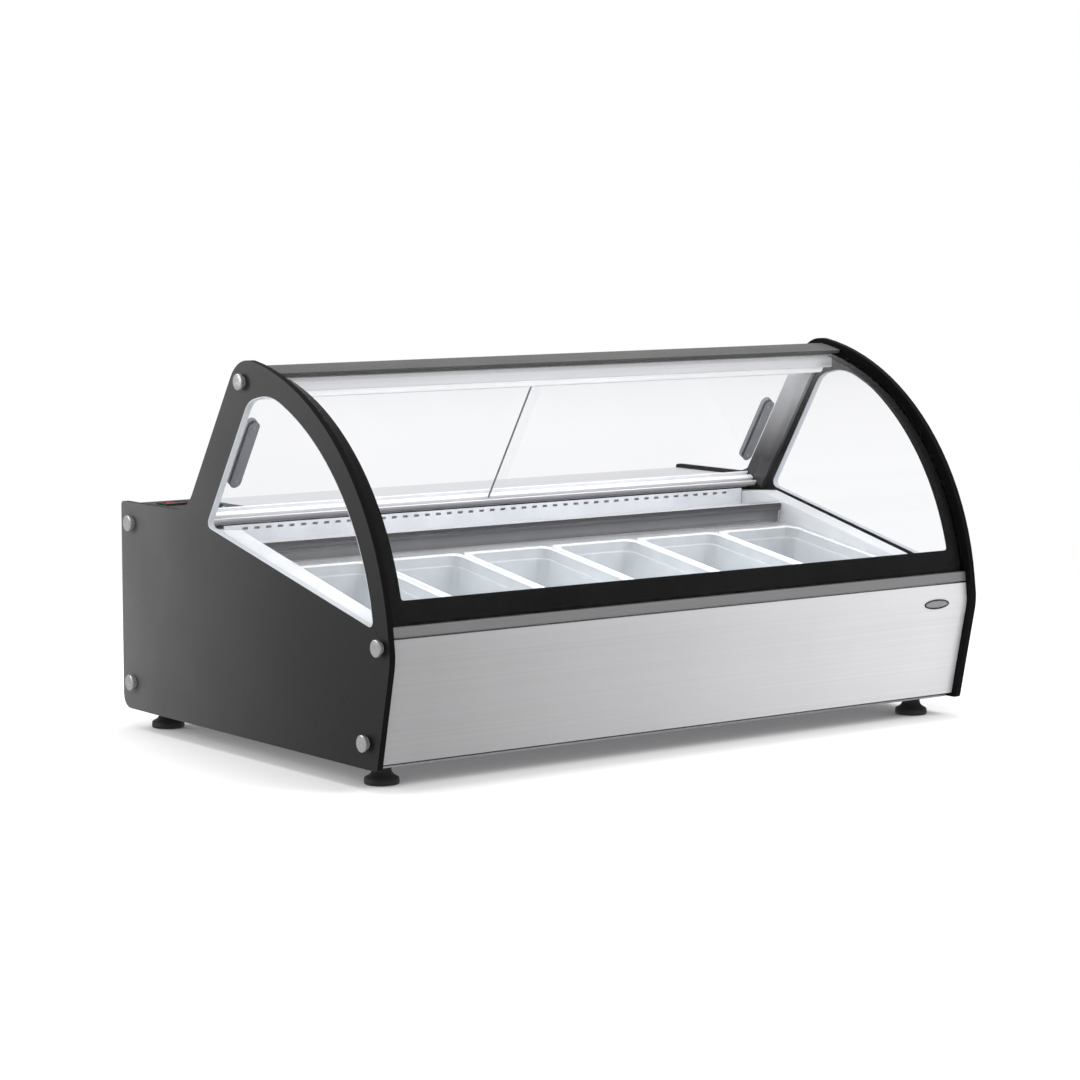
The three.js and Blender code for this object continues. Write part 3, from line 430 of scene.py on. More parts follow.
def loft(rings, closed_ends=True):
    """Points and faces of a skin over rings of equal length, with a face over each end."""
    count = len(rings[0])
    points = [p for ring in rings for p in ring]
    faces = []
    for i in range(len(rings) - 1):
        for k in range(count):
            a, b = i * count + k, i * count + (k + 1) % count
            faces.append((a, b, b + count, a + count))
    if closed_ends:
        faces.append(tuple(range(count)))
        faces.append(tuple(range((len(rings) - 1) * count, len(rings) * count)))
    return points, faces


def lathe(profile, segments, axis, at):
    """A mesh turned about an axis through `at`: the profile is [radius, distance along the axis]."""
    turn = Vector((0, 0, 1)).rotation_difference(Vector(axis)).to_matrix()
    rings = []
    for radius, along in profile:
        ring = []
        for k in range(segments):
            angle = 2 * math.pi * k / segments
            arm = Vector((radius * math.cos(angle), radius * math.sin(angle), along))
            ring.append(Vector(at) + turn @ arm)
        rings.append(ring)
    return loft(rings)


def rounded_rectangle(half_x, half_y, radius, steps=6):
    """Corner points of a rounded rectangle round the origin, going anticlockwise."""
    points = []
    for quarter, (sx, sy) in enumerate([(1, 1), (-1, 1), (-1, -1), (1, -1)]):
        cx, cy = sx * (half_x - radius), sy * (half_y - radius)
        for k in range(steps + 1):
            angle = math.pi / 2 * (quarter + k / steps)
            points.append((cx + radius * math.cos(angle), cy + radius * math.sin(angle)))
    return points


def plate(outline, low, high, edge):
    """Rings of a flat plate with softened edges; outline(inset) gives its points."""
    return [
        [(*p, low) for p in outline(edge)],
        [(*p, low + edge) for p in outline(0)],
        [(*p, high - edge) for p in outline(0)],
        [(*p, high) for p in outline(edge)],
    ]


def moved(points, matrix):
    return [matrix @ Vector(p) for p in points]


def basis(x_axis, y_axis, z_axis, origin):
    """The matrix that takes a local frame to the row frame."""
    matrix = Matrix((x_axis, y_axis, z_axis)).transposed().to_4x4()
    matrix.translation = origin
    return matrix


# ---------------------------------------------------------------- reading the frame
SAME_POINT = 0.01 * MM
SAME_LEVEL = 0.05 * MM


def welded(node):
    """The CAD node's mesh with its doubled corners merged, as a loose copy."""
    shaper = bmesh.new()
    shaper.from_mesh(NODES[node].data)
    bmesh.ops.remove_doubles(shaper, verts=shaper.verts, dist=SAME_POINT)
    return shaper


def flat_outlines(node, axis, side):
    """Outlines of the flat face on one side of a CAD node, the largest first."""
    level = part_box(node)[1 if side > 0 else 0][axis]
    shaper = welded(node)

    def is_flat(face):
        return all(abs(v.co[axis] - level) < SAME_LEVEL for v in face.verts)

    rims = [e for e in shaper.edges if sum(is_flat(f) for f in e.link_faces) == 1]
    ahead = {}
    for edge in rims:
        for a, b in (edge.verts, reversed(edge.verts)):
            ahead.setdefault(a, []).append(b)
    outlines = []
    left = set(ahead)
    while left:
        start = min(left, key=lambda v: v.index)
        loop, last = [start], None
        while True:
            step = next((v for v in ahead[loop[-1]] if v is not last and v in left), None)
            if step is None or step is start:
                break
            last = loop[-1]
            loop.append(step)
            left.discard(last)
        left.difference_update(loop)
        outlines.append([v.co.copy() for v in loop])
    shaper.free()

    def reach(outline):
        return sum(max(p[i] for p in outline) - min(p[i] for p in outline) for i in range(3))

    return sorted(outlines, key=reach, reverse=True)


def middle(node):
    low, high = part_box(node)
    return (low + high) / 2


def lift_axis(joint):
    """The unit direction that a sliding joint moves along."""
    return Vector(next(j["axis"] for j in frame["joints"] if j["name"] == joint)).normalized()


# ---------------------------------------------------------------- CAD nodes that show
def dress(node, look, bevel=0.5 * MM, segments=2):
    """Gives a CAD node its look, with softened edges and smooth curves."""
    piece = NODES[node]
    flat_shading = piece.data.attributes.get("custom_normal")
    if flat_shading:
        piece.data.attributes.remove(flat_shading)
    piece.data.materials.clear()
    piece.data.materials.append(LOOKS[look])
    weld = piece.modifiers.new("weld", "WELD")
    weld.merge_threshold = SAME_POINT
    merge = piece.modifiers.new("merge flat faces", "DECIMATE")
    merge.decimate_type = "DISSOLVE"
    merge.angle_limit = math.radians(0.3)
    if bevel:
        edges = piece.modifiers.new("soft edges", "BEVEL")
        edges.width = bevel
        edges.segments = segments
        edges.limit_method = "ANGLE"
        edges.angle_limit = math.radians(33)
        edges.harden_normals = True
    shade_by_angle(piece.data)


CAD_LOOKS = {
    "panel paint": {"left_side_panel": 1.2, "right_side_panel": 1.2},
    "rail paint": {"top_rail": 0.8},
    "glass": {
        "left_side_glass": 0.4,
        "right_side_glass": 0.4,
        "front_glass": 0.4,
        "left_door_glass": 0.6,
        "right_door_glass": 0.6,
    },
    "brushed": {"front_panel": 0.5},
    "shelf": {"rear_shelf": 0.5},
    "bright": {"well_liner": 0.5, "pan_frame": 0.6},
    "trim": {"glass_trim_strip": 0.5},
    "aluminium": {"evaporator_coil": 0.2},
    "housing": {"lamp_housing": 0.6},
    "track": {"lower_door_track": 0.3, "upper_door_track": 0.3},
    "jamb": {"left_door_jamb": 0.8, "right_door_jamb": 0.8},
    "liner": {"insulated_body": 2.0},
    "duct": {"duct_panel": 0.4},
    "lamp": {"lamp_diffuser": 0.0},
    "galvanised": {
        "base_tray": 0.5,
        "rear_panel": 0.4,
        "condenser_coil": 0.2,
        "condenser_fan_shroud": 0.5,
    },
    "black plastic": {
        "power_inlet": 0.5,
        "control_panel": 0.6,
        "temperature_controller": 0.6,
        "power_switch_rocker": 0.5,
        "light_switch_rocker": 0.5,
    },
    "enamel": {"compressor": 1.5, "condenser_fan": 0.3},
    "copper": {"suction_line": 0.0, "liquid_line": 0.0},
    "grey plastic": {
        "evaporator_fan": 0.3,
        "temperature_up_key": 0.4,
        "temperature_down_key": 0.4,
        "left_door_pull": 0.8,
        "right_door_pull": 0.8,
    },
}

for look, nodes in CAD_LOOKS.items():
    for node, bevel in nodes.items():
        dress(node, look, bevel * MM)


# ---------------------------------------------------------------- disc-headed bolts
BOLT_PROFILE = [  # [share of the head's radius, share of its height off the panel]
    (0.7, 0.02), (0.72, 0.06), (0.7, 0.1), (0.63, 0.12), (0.62, 0.16), (0.62, 0.5), (0.94, 0.52),
    (0.985, 0.55), (1, 0.6), (1, 0.88), (0.985, 0.94), (0.94, 0.985), (0.88, 1), (0.3, 1),
    (0.26, 0.96), (0.04, 0.95),
]


def disc_bolt(side_name, number):
    """A turned steel disc that stands off a side panel on its neck."""
    node = f"{side_name}_panel_bolt_{number}"
    low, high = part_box(node)
    side = SIDES[side_name]
    centre = middle(node)
    head = (high[Y] - low[Y]) / 2
    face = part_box(f"{side_name}_side_panel")[1 if side > 0 else 0][X]
    proud = abs((high if side > 0 else low)[X] - face)
    profile = [(radius * head, along * proud) for radius, along in BOLT_PROFILE]
    at = Vector((face, centre[Y], centre[Z]))
    mesh = mesh_from(node, *lathe(profile, 40, (side, 0, 0), at))
    bolt = piece_of(f"disc_bolt_{side_name}_{number}", mesh, "bolt steel", BODY_OF[node], SLOT_OF[node])
    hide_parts(node)


for side_name in SIDES:
    for number in range(1, 6):
        disc_bolt(side_name, number)


# ---------------------------------------------------------------- levelling feet
FOOT_PROFILE = [  # [share of the radius, share of the height]
    (0.9, 0), (0.98, 0.02), (1, 0.06), (1, 0.2), (0.97, 0.24), (0.99, 0.28), (0.93, 0.34),
    (0.78, 0.4), (0.66, 0.48), (0.58, 0.58), (0.55, 0.66), (0.55, 0.8), (0.53, 0.82), (0.53, 1),
]


def levelling_foot(place):
    """A turned rubber foot with a ribbed pad and a plain collar under the cabinet."""
    node = f"{place}_foot"
    low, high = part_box(node)
    centre = middle(node)
    radius = (high[X] - low[X]) / 2
    tall = high[Z] - low[Z]
    profile = [(share * radius, along * tall) for share, along in FOOT_PROFILE]
    base = Vector((centre[X], centre[Y], low[Z]))
    mesh = mesh_from(node, *lathe(profile, 56, (0, 0, 1), base))
    foot = piece_of(f"levelling_foot_{place}", mesh, "rubber", BODY_OF[node], SLOT_OF[node])
    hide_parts(node)


for place in ("rear_left", "rear_right", "front_left", "front_right"):
    levelling_foot(place)


# ---------------------------------------------------------------- pans
def pan_frame_of(node, joint):
    """A pan's own frame, with its size: x across, y up the slope, z along the way it lifts out."""
    up = lift_axis(joint)
    along = up.cross(ACROSS)
    points = [v.co for v in NODES[node].data.vertices]
    spans = [
        (min(p.dot(axis) for p in points), max(p.dot(axis) for p in points))
        for axis in (ACROSS, along, up)
    ]
    origin = ACROSS * (sum(spans[0]) / 2) + along * (sum(spans[1]) / 2) + up * spans[2][1]
    size = [high - low for low, high in spans]
    return basis(ACROSS, along, up, origin), size


RIM_DEPTH = 4 * MM


def food_pan(number):
    """A thin tapered tub with a rolled rim and a stacking step.

    Its section is a run of [inset from the rim's outline, drop below the rim] in millimetres.
    """
    node = f"pan_{number}"
    matrix, (width, length, depth) = pan_frame_of(node, f"pan_{number}_lift")
    deep = depth / MM
    outside = [
        (60, deep), (24, deep), (19, deep - 1.2), (16.4, deep - 4), (15.2, deep - 9),
        (9.2, 21), (8.6, 19.4), (7.2, 18.2), (6.6, 16.5), (6.2, 3.6),
    ]
    rim = [
        (5.6, 2.8), (1.2, 2.8), (0.3, 2.3), (0, 1.5), (0.3, 0.6), (1.2, 0.1), (6.5, 0), (8.2, 0.5),
    ]
    inside = [
        (8.8, 1.8), (9.3, 16.2), (9.8, 17.4), (11.4, 18.6), (12, 20.4),
        (18, deep - 12), (19.6, deep - 6.4), (23, deep - 3.6), (28, deep - 2.6), (60, deep - 2.4),
    ]
    rings = []
    for inset, drop in outside + rim + inside:
        corner = (13 + 0.5 * min(inset, 9) - 0.12 * max(0, inset - 9)) * MM
        half_width, half_length = width / 2 - inset * MM, length / 2 - inset * MM
        outline = rounded_rectangle(half_width, half_length, corner, steps=7)
        rings.append(moved([(*p, -drop * MM) for p in outline], matrix))
    mesh = mesh_from(node, *loft(rings))
    up = matrix.col[2].to_3d()
    rim_foot = matrix.translation.dot(up) - RIM_DEPTH
    for face in mesh.polygons:
        if face.center.dot(up) > rim_foot:
            face.material_index = 1
    pan = piece_of(f"food_pan_{number}", mesh, ["pan", "pan rim"], BODY_OF[node], SLOT_OF[node])
    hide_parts(node)


for number in range(1, 7):
    food_pan(number)


def rear_bar_trim():
    """A dark skin over the front of the bar behind the pans, rolled over the bar's upper edge; its tone is painted
    light and shade, darkest towards the top.
    """
    node = "pan_frame"
    up = lift_axis("pan_1_lift")
    rearwards = up.cross(ACROSS)
    end_face = {
        (round(p.dot(up), 5), round(p.dot(rearwards), 5)) for p in flat_outlines(node, X, -1)[0]
    }
    foot, top = min(end_face)[0], max(end_face)[0]
    front = min(along for height, along in end_face if height > top - SAME_LEVEL)
    cap_foot = min(height for height, along in end_face if abs(along - front) < SAME_LEVEL)
    under_cap = [along for height, along in end_face if abs(height - cap_foot) < SAME_LEVEL]
    wall = min(along for along in under_cap if along > front + SAME_LEVEL)
    up_wall = [height for height, along in end_face if abs(along - wall) < SAME_LEVEL]
    plate_top = min(height for height in up_wall if height > foot + SAME_LEVEL)
    skin, gap, roll, roll_steps, end_inset = 0.5 * MM, 0.1 * MM, 2.4 * MM, 12, 4 * MM
    middle_up, half_up = (top + cap_foot) / 2, (top - cap_foot) / 2
    section = []
    for k in range(roll_steps + 1):
        angle = math.pi * k / roll_steps
        section.append((front - skin - roll * math.sin(angle), middle_up + half_up * math.cos(angle)))
    section += [
        (wall - skin, cap_foot - 0.4 * MM),
        (wall - skin, plate_top + 3 * MM),
        (wall - 2 * skin, plate_top + 1 * MM),
        (wall - gap, plate_top + 0.6 * MM),
        (wall - gap, cap_foot - gap),
        (front - gap, cap_foot - gap / 2),
        (front - gap, top - 0.3 * MM),
    ]
    low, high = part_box(node)
    rings = [
        [ACROSS * x + rearwards * along + up * height for along, height in section]
        for x in (low[X] + end_inset, high[X] - end_inset)
    ]
    mesh = mesh_from("rear_bar_trim", *loft(rings))
    piece_of("rear_bar_trim", mesh, "bar trim", BODY_OF[node], SLOT_OF[node])


rear_bar_trim()


# ---------------------------------------------------------------- printed border on the front glass
PRINT_SIDE = 30 * MM
PRINT_FOOT = 37 * MM
PRINT_CORNER = 5 * MM
PRINT_BEHIND = 0.13 * MM
PRINT_FROM_END = 0.3 * MM


def front_glass_arc():
    """The curved pane's arc centre, with the angle, y and z of each corner of its inner face."""
    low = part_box("front_glass")[0][X]
    ends = [v.co for v in NODES["front_glass"].data.vertices if abs(v.co[X] - low) < SAME_LEVEL]
    arc = ends
    for _ in range(2):  # the second fit uses the inner arc alone
        rows = np.array([[p[Y], p[Z], 1.0] for p in arc])
        squares = np.array([p[Y] ** 2 + p[Z] ** 2 for p in arc])
        fit = np.linalg.lstsq(rows, squares, rcond=None)[0]
        y, z = fit[0] / 2, fit[1] / 2
        reaches = [math.hypot(p[Y] - y, p[Z] - z) for p in ends]
        limit = (min(reaches) + max(reaches)) / 2
        arc = [p for p, reach in zip(ends, reaches) if reach < limit]
    corners = sorted((math.atan2(p[Z] - z, y - p[Y]), p[Y], p[Z]) for p in arc)
    return (y, z), np.array(corners).T


def border_outlines(half, angles, radius):
    """The print's outer and inner outlines as [x, angle], from the left's top round to the right's."""
    first = angles[0]
    foot_angle = first + PRINT_FOOT / radius
    bend = foot_angle + PRINT_CORNER / radius
    outer, inner = [], []
    clear_of_bend = bend + 0.002
    for angle in [a for a in reversed(angles) if a > clear_of_bend] + [bend]:
        outer.append((-half, angle))
        inner.append((-half + PRINT_SIDE, angle))
    round_steps = 6
    for k in range(1, round_steps + 1):
        turn = math.pi / 2 * k / round_steps
        down, inwards = min(1, 2 * k / round_steps), max(0, 2 * k / round_steps - 1)
        outer.append((-half + (PRINT_SIDE + PRINT_CORNER) * inwards, bend + (first - bend) * down))
        x = -half + PRINT_SIDE + PRINT_CORNER * (1 - math.cos(turn))
        inner.append((x, foot_angle + PRINT_CORNER / radius * (1 - math.sin(turn))))
    return [outline + [(-x, a) for x, a in reversed(outline)] for outline in (outer, inner)]


def printed_border():
    """A thin black skin behind the glass, down both sides and along the foot."""
    (cy, cz), (angles, ys, zs) = front_glass_arc()
    radius = math.hypot(ys[0] - cy, zs[0] - cz)
    nearer = 1 - PRINT_BEHIND / radius

    def behind_glass(x, angle):
        """A point just behind the flat facet of the pane that lies at this angle."""
        y, z = np.interp(angle, angles, ys), np.interp(angle, angles, zs)
        return (x, cy + (y - cy) * nearer, cz + (z - cz) * nearer)

    low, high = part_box("front_glass")
    half = (high[X] - low[X]) / 2 - PRINT_FROM_END
    outer, inner = border_outlines(half, angles, radius)
    rows = 5
    points, faces = [], []
    for (x0, a0), (x1, a1) in zip(outer, inner):
        for row in range(rows + 1):
            points.append(behind_glass(x0 + (x1 - x0) * row / rows, a0 + (a1 - a0) * row / rows))
    for i in range(len(outer) - 1):
        for row in range(rows):
            a = i * (rows + 1) + row
            faces.append((a, a + 1, a + rows + 2, a + rows + 1))
    name = "front_glass_printed_border"
    border = piece_of(
        name, mesh_from(name, points, faces), "print", BODY_OF["front_glass"], SLOT_OF["front_panel"]
    )
    skin = border.modifiers.new("thickness", "SOLIDIFY")
    skin.thickness = 0.08 * MM
    skin.offset = 0


printed_border()


# ---------------------------------------------------------------- window edging
def edging(side_name):
    """A pale plastic strip that lines the cut edge of a side panel's window."""
    node = f"{side_name}_side_panel"
    side = SIDES[side_name]
    window = flat_outlines(node, X, side)[1]
    low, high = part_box(node)
    inner, outer = (low[X], high[X]) if side > 0 else (high[X], low[X])
    thick, sunk = 1.3 * MM, 0.05 * MM
    count = len(window)
    centre = sum(window, Vector()) / count
    inset = []
    for i in range(count):
        before, here, after = window[i - 1], window[i], window[(i + 1) % count]
        along = (after - before).normalized()
        square = Vector((0, -along[Z], along[Y]))
        if square.dot(centre - here) < 0:
            square.negate()
        inset.append(square)
    rings = []
    for x, depth in [
        (inner + side * 0.2 * MM, sunk),
        (inner + side * 0.2 * MM, thick),
        (outer - side * 0.6 * MM, thick),
        (outer + side * 0.3 * MM, 0.8 * thick),
        (outer + side * 0.3 * MM, sunk),
    ]:
        rings.append([Vector((x, p[Y], p[Z])) + s * depth for p, s in zip(window, inset)])
    points, faces = loft(rings, closed_ends=False)
    last = (len(rings) - 1) * count
    for k in range(count):
        faces.append((last + k, last + (k + 1) % count, (k + 1) % count, k))
    mesh = mesh_from(f"{side_name}_window_edging", points, faces)
    piece_of(f"{side_name}_window_edging", mesh, "edging", BODY_OF[node], SLOT_OF["left_door_jamb"])


for side_name in SIDES:
    edging(side_name)


# ---------------------------------------------------------------- badge
def blank_badge():
    """A small blank oval plate with a dark rim, at the front panel's right end."""
    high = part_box("front_panel")[1]
    at_x, at_z = high[X] - 68 * MM, high[Z] - 31 * MM
    half_x, half_z = 27 * MM, 8.2 * MM
    face_of = {}
    for corner in NODES["front_panel"].data.vertices:
        level = round(corner.co[Z], 4)
        face_of[level] = min(corner.co[Y], face_of.get(level, corner.co[Y]))
    levels = sorted(face_of)
    faces = [face_of[level] for level in levels]

    def ring(inset, proud, segments=48):
        points = []
        for k in range(segments):
            angle = 2 * math.pi * k / segments
            z = at_z + (half_z - inset) * math.sin(angle)
            y = np.interp(z, levels, faces) - proud
            points.append((at_x + (half_x - inset) * math.cos(angle), y, z))
        return points

    rim = loft([
        ring(0.3 * MM, -0.6 * MM),
        ring(0, 0),
        ring(0, 1.0 * MM),
        ring(0.5 * MM, 1.5 * MM),
        ring(2.0 * MM, 1.5 * MM),
        ring(2.5 * MM, 1.0 * MM),
        ring(2.5 * MM, -0.4 * MM),
    ])
    face = loft([
        ring(2.6 * MM, -0.3 * MM),
        ring(2.6 * MM, 0.8 * MM),
        ring(3.4 * MM, 1.0 * MM),
        ring(5.2 * MM, 1.15 * MM),
    ])
    body, slot = BODY_OF["front_panel"], SLOT_OF["front_panel"]
    piece_of("blank_badge_rim", mesh_from("badge_rim", *rim), "black plastic", body, slot)
    piece_of("blank_badge_face", mesh_from("badge_face", *face), "badge face", body, slot)


blank_badge()


# ---------------------------------------------------------------- screws
def screw(name, at, axis, radius, proud, node):
    """A pan-head screw with a cross recess."""
    profile = [
        (radius, -0.2 * proud),
        (radius, 0.25 * proud),
        (0.94 * radius, 0.5 * proud),
        (0.78 * radius, 0.76 * proud),
        (0.5 * radius, 0.94 * proud),
        (0.3 * radius, proud),
    ]
    points, faces = lathe(profile, 28, axis, at)
    turn = Vector((0, 0, 1)).rotation_difference(Vector(axis)).to_matrix()
    outline = []
    arm, thin = 0.52 * radius, 0.1 * radius
    for k in range(4):
        spin = Matrix.Rotation(k * math.pi / 2 + 0.4, 3, "Z")
        outline += [spin @ Vector((x, y, 0)) for x, y in ((arm, -thin), (arm, thin), (thin, thin))]
    base = len(points)
    for height in (0.7 * proud, 1.02 * proud):
        points += [Vector(at) + turn @ (p + Vector((0, 0, height))) for p in outline]
    count = len(outline)
    head_faces = len(faces)
    faces += [
        (base + k, base + (k + 1) % count, base + count + (k + 1) % count, base + count + k)
        for k in range(count)
    ]
    faces.append(tuple(range(base, base + count)))
    faces.append(tuple(range(base + count, base + 2 * count)))
    mesh = mesh_from(name, points, faces)
    for face in mesh.polygons[head_faces:]:
        face.material_index = 1
    return piece_of(name, mesh, ["bolt steel", "black plastic"], BODY_OF[node], "bright_steel")


# ---------------------------------------------------------------- doors
def lean_of_doors():
    """Directions of a closed door: up its face, and square out of its back."""
    corners = [v.co for v in NODES["left_door_glass"].data.vertices]
    foot = max(corners, key=lambda c: c[Y])
    head = max(corners, key=lambda c: c[Z])
    up = head - foot
    up[X] = 0
    up.normalize()
    return up, Vector((0, up[Z], -up[Y]))


DOOR_UP, DOOR_BACK = lean_of_doors()


PULL_SCREW = 3.6 * MM


def pull_fittings(side_name):
    """Screws in a pull's ends, and the plate that backs it on the inside of the glass."""
    node = f"{side_name}_door_pull"
    centre = middle(node)
    corners = [v.co - centre for v in NODES[node].data.vertices]
    reach = max(c.dot(DOOR_UP) for c in corners)
    back = max(c.dot(DOOR_BACK) for c in corners)
    radius = max(c[X] for c in corners)
    for end, sign in (("upper", 1), ("lower", -1)):
        at = centre + DOOR_UP * (sign * (reach - 1.1 * radius)) + DOOR_BACK * back
        screw(f"{node}_{end}_screw", at, DOOR_BACK, PULL_SCREW, 1.6 * MM, node)
    glass = [v.co for v in NODES[f"{side_name}_door_glass"].data.vertices]
    inside = min(g.dot(DOOR_BACK) for g in glass) - centre.dot(DOOR_BACK)
    matrix = basis(ACROSS, DOOR_UP, ACROSS.cross(DOOR_UP), centre + DOOR_BACK * inside)
    towards_customer = -1 if matrix.col[2].to_3d().dot(DOOR_BACK) > 0 else 1

    def capsule(inset):
        return rounded_rectangle(radius - inset, reach - inset, radius - inset - 0.01 * MM, 8)

    thick = 1.6 * MM
    rings = plate(capsule, 0.05 * MM, thick, 0.5 * MM)
    rings = [[(x, y, towards_customer * z) for x, y, z in ring] for ring in rings]
    rings = [moved(ring, matrix) for ring in rings]
    mesh = mesh_from(f"{node}_backing_plate", *loft(rings))
    piece_of(f"{node}_backing_plate", mesh, "grey plastic", BODY_OF[node], SLOT_OF[node])
    for end, sign in (("upper", 1), ("lower", -1)):
        at = centre + DOOR_UP * (sign * (reach - 1.1 * radius)) + DOOR_BACK * (inside - thick)
        screw(f"{node}_{end}_inner_screw", at, -DOOR_BACK, PULL_SCREW, 1.4 * MM, node)


def meeting_strip():
    """A slim grey strip along the free edge of the inner door, where the two doors meet."""
    node = "right_door_glass"
    corners = [v.co for v in NODES[node].data.vertices]
    ups = [c.dot(DOOR_UP) for c in corners]
    backs = [c.dot(DOOR_BACK) for c in corners]
    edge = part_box(node)[0][X]
    centre = DOOR_UP * ((min(ups) + max(ups)) / 2) + DOOR_BACK * ((min(backs) + max(backs)) / 2)
    half_up = (max(ups) - min(ups)) / 2 - 5 * MM
    half_back = (max(backs) - min(backs)) / 2 - 0.6 * MM
    matrix = basis(DOOR_BACK, DOOR_UP, DOOR_BACK.cross(DOOR_UP), centre + Vector((edge, 0, 0)))
    outwards = -1 if matrix.col[2][X] > 0 else 1

    def outline(inset):
        return rounded_rectangle(half_back - inset, half_up - inset, 0.8 * MM, 3)

    rings = plate(outline, 0.05 * MM, 1.4 * MM, 0.4 * MM)
    rings = [[(x, y, outwards * z) for x, y, z in ring] for ring in rings]
    mesh = mesh_from("meeting_strip", *loft([moved(ring, matrix) for ring in rings]))
    piece_of("door_meeting_strip", mesh, "seal", BODY_OF[node], SLOT_OF["right_door_pull"])


for side_name in SIDES:
    pull_fittings(side_name)
meeting_strip()


# ---------------------------------------------------------------- rear panel
def louvre_hoods():
    """A pressed hood over each slot of the rear panel, one piece for each bank."""
    longest_other_hole = 100 * MM
    banks = {}
    for outline in flat_outlines("rear_panel", Y, 1)[1:]:
        xs, zs = [p[X] for p in outline], [p[Z] for p in outline]
        if max(xs) - min(xs) > longest_other_hole:
            bank = banks.setdefault(round(sum(xs) / len(xs), 3), [])
            bank.append((min(xs), max(xs), min(zs), max(zs)))
    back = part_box("rear_panel")[1][Y]
    proud, lap = 5.5 * MM, 4 * MM
    columns, rows = 28, 6
    for number, (_, slots) in enumerate(sorted(banks.items()), 1):
        points, faces = [], []
        for x0, x1, z0, z1 in slots:
            first = len(points)
            top, foot = z1 + lap, z0 - 1 * MM
            for r in range(rows + 1):
                down = r / rows
                for c in range(columns + 1):
                    across = 2 * c / columns - 1
                    end = max(0.0, 1 - abs(across) ** 14)
                    out = proud * math.sin(down * math.pi / 2) ** 0.8 * end ** 0.5
                    x = (x0 + x1) / 2 + across * ((x1 - x0) / 2 + lap)
                    points.append((x, back + 0.3 * MM + out, top + (foot - top) * down))
            for r in range(rows):
                for c in range(columns):
                    a = first + r * (columns + 1) + c
                    faces.append((a, a + 1, a + columns + 2, a + columns + 1))
        name = f"rear_louvre_hoods_{number}"
        mesh = mesh_from(name, points, faces)
        hoods = piece_of(name, mesh, "galvanised", BODY_OF["rear_panel"], SLOT_OF["rear_panel"])
        skin = hoods.modifiers.new("thickness", "SOLIDIFY")
        skin.thickness = 0.5 * MM


def rear_panel_screws():
    """Five screws along the rear panel's head and five along its foot."""
    node = "rear_panel"
    low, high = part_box(node)
    from_end, from_edge = 12 * MM, 28 * MM
    radius, proud = 4.5 * MM, 2.2 * MM
    xs = [low[X] + from_end + i * (high[X] - low[X] - 2 * from_end) / 4 for i in range(5)]
    for i, x in enumerate(xs, 1):
        for end, z in (("upper", high[Z] - from_edge), ("lower", low[Z] + from_edge)):
            screw(f"{node}_{end}_screw_{i}", (x, high[Y], z), (0, 1, 0), radius, proud, node)


louvre_hoods()
rear_panel_screws()


# ---------------------------------------------------------------- controls
def small_block(x0, x1, y0, y1, z0, z1):
    """Rings of a block with softened upper edges."""
    soft = min(x1 - x0, y1 - y0, z1 - z0) * 0.25

    def outline(inset):
        near, far = (x0 + inset, y0 + inset), (x1 - inset, y1 - inset)
        return [near, (far[X], near[Y]), far, (near[X], far[Y])]

    return [
        [(*p, z0) for p in outline(0)],
        [(*p, z1 - soft) for p in outline(0)],
        [(*p, z1) for p in outline(soft)],
    ]


READING = "-18"
SEGMENTS = {"1": "bc", "-": "g", "8": "abcdefg"}  # the bars that each sign lights


def display():
    """A smoked window in the controller's recess, with a lit reading of generic numbers."""
    node = "temperature_controller"
    low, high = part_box(node)
    slot, body = SLOT_OF[node], BODY_OF[node]
    x0, x1 = low[X] + 6 * MM, low[X] + 47 * MM
    cy = middle(node)[Y]
    half = 10 * MM
    floor = high[Z] - 1.2 * MM
    window = small_block(x0, x1, cy - half, cy + half, floor + 0.05 * MM, floor + 0.6 * MM)
    piece_of("display_window", mesh_from("display_window", *loft(window)), "print", body, slot)
    tall, wide, thin = 6.5 * MM, 6.5 * MM, 1.1 * MM
    from_end, pitch = 9.5 * MM, 11.5 * MM
    level, raised = floor + 0.55 * MM, 0.25 * MM
    # Read from behind the cabinet, so the text runs towards -X with its top towards -Y.
    bars = {  # each bar's place as [right, up], and whether it is upright
        "a": (0, 1, False), "b": (1, 1, True), "c": (1, 0, True), "d": (0, -1, False),
        "e": (-1, 0, True), "f": (-1, 1, True), "g": (0, 0, False),
    }
    points, faces = [], []
    for place, sign in enumerate(READING):
        centre_x = x1 - from_end - place * pitch
        for bar in SEGMENTS[sign]:
            right, up, upright = bars[bar]
            if upright:
                bx, by = centre_x - right * wide / 2, cy - (up * tall - tall / 2)
                hx, hy = thin / 2, tall / 2 - 0.8 * thin
            else:
                bx, by = centre_x, cy - up * tall
                hx, hy = wide / 2 - 0.8 * thin, thin / 2
            lit = small_block(bx - hx, bx + hx, by - hy, by + hy, level, level + raised)
            block, sides = loft(lit)
            faces += [tuple(i + len(points) for i in face) for face in sides]
            points += block
    piece_of("display_digits", mesh_from("display_digits", points, faces), "digits", body, slot)


def indicator_lamps():
    """A domed lens in front of each rocker switch."""
    profile = [(2.6, -0.3), (2.6, 0.6), (2.2, 1.2), (1.2, 1.6), (0.3, 1.7)]
    profile = [(radius * MM, along * MM) for radius, along in profile]
    from_switch = 19 * MM
    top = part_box("control_panel")[1][Z]
    for name in ("power", "light"):
        switch = middle(f"{name}_switch_rocker")
        at = Vector((switch[X], switch[Y] - from_switch, top))
        mesh = mesh_from(f"{name}_indicator", *lathe(profile, 24, (0, 0, 1), at))
        piece_of(f"{name}_indicator_lens", mesh, "indicator", "cabinet", SLOT_OF["control_panel"])


display()
indicator_lamps()


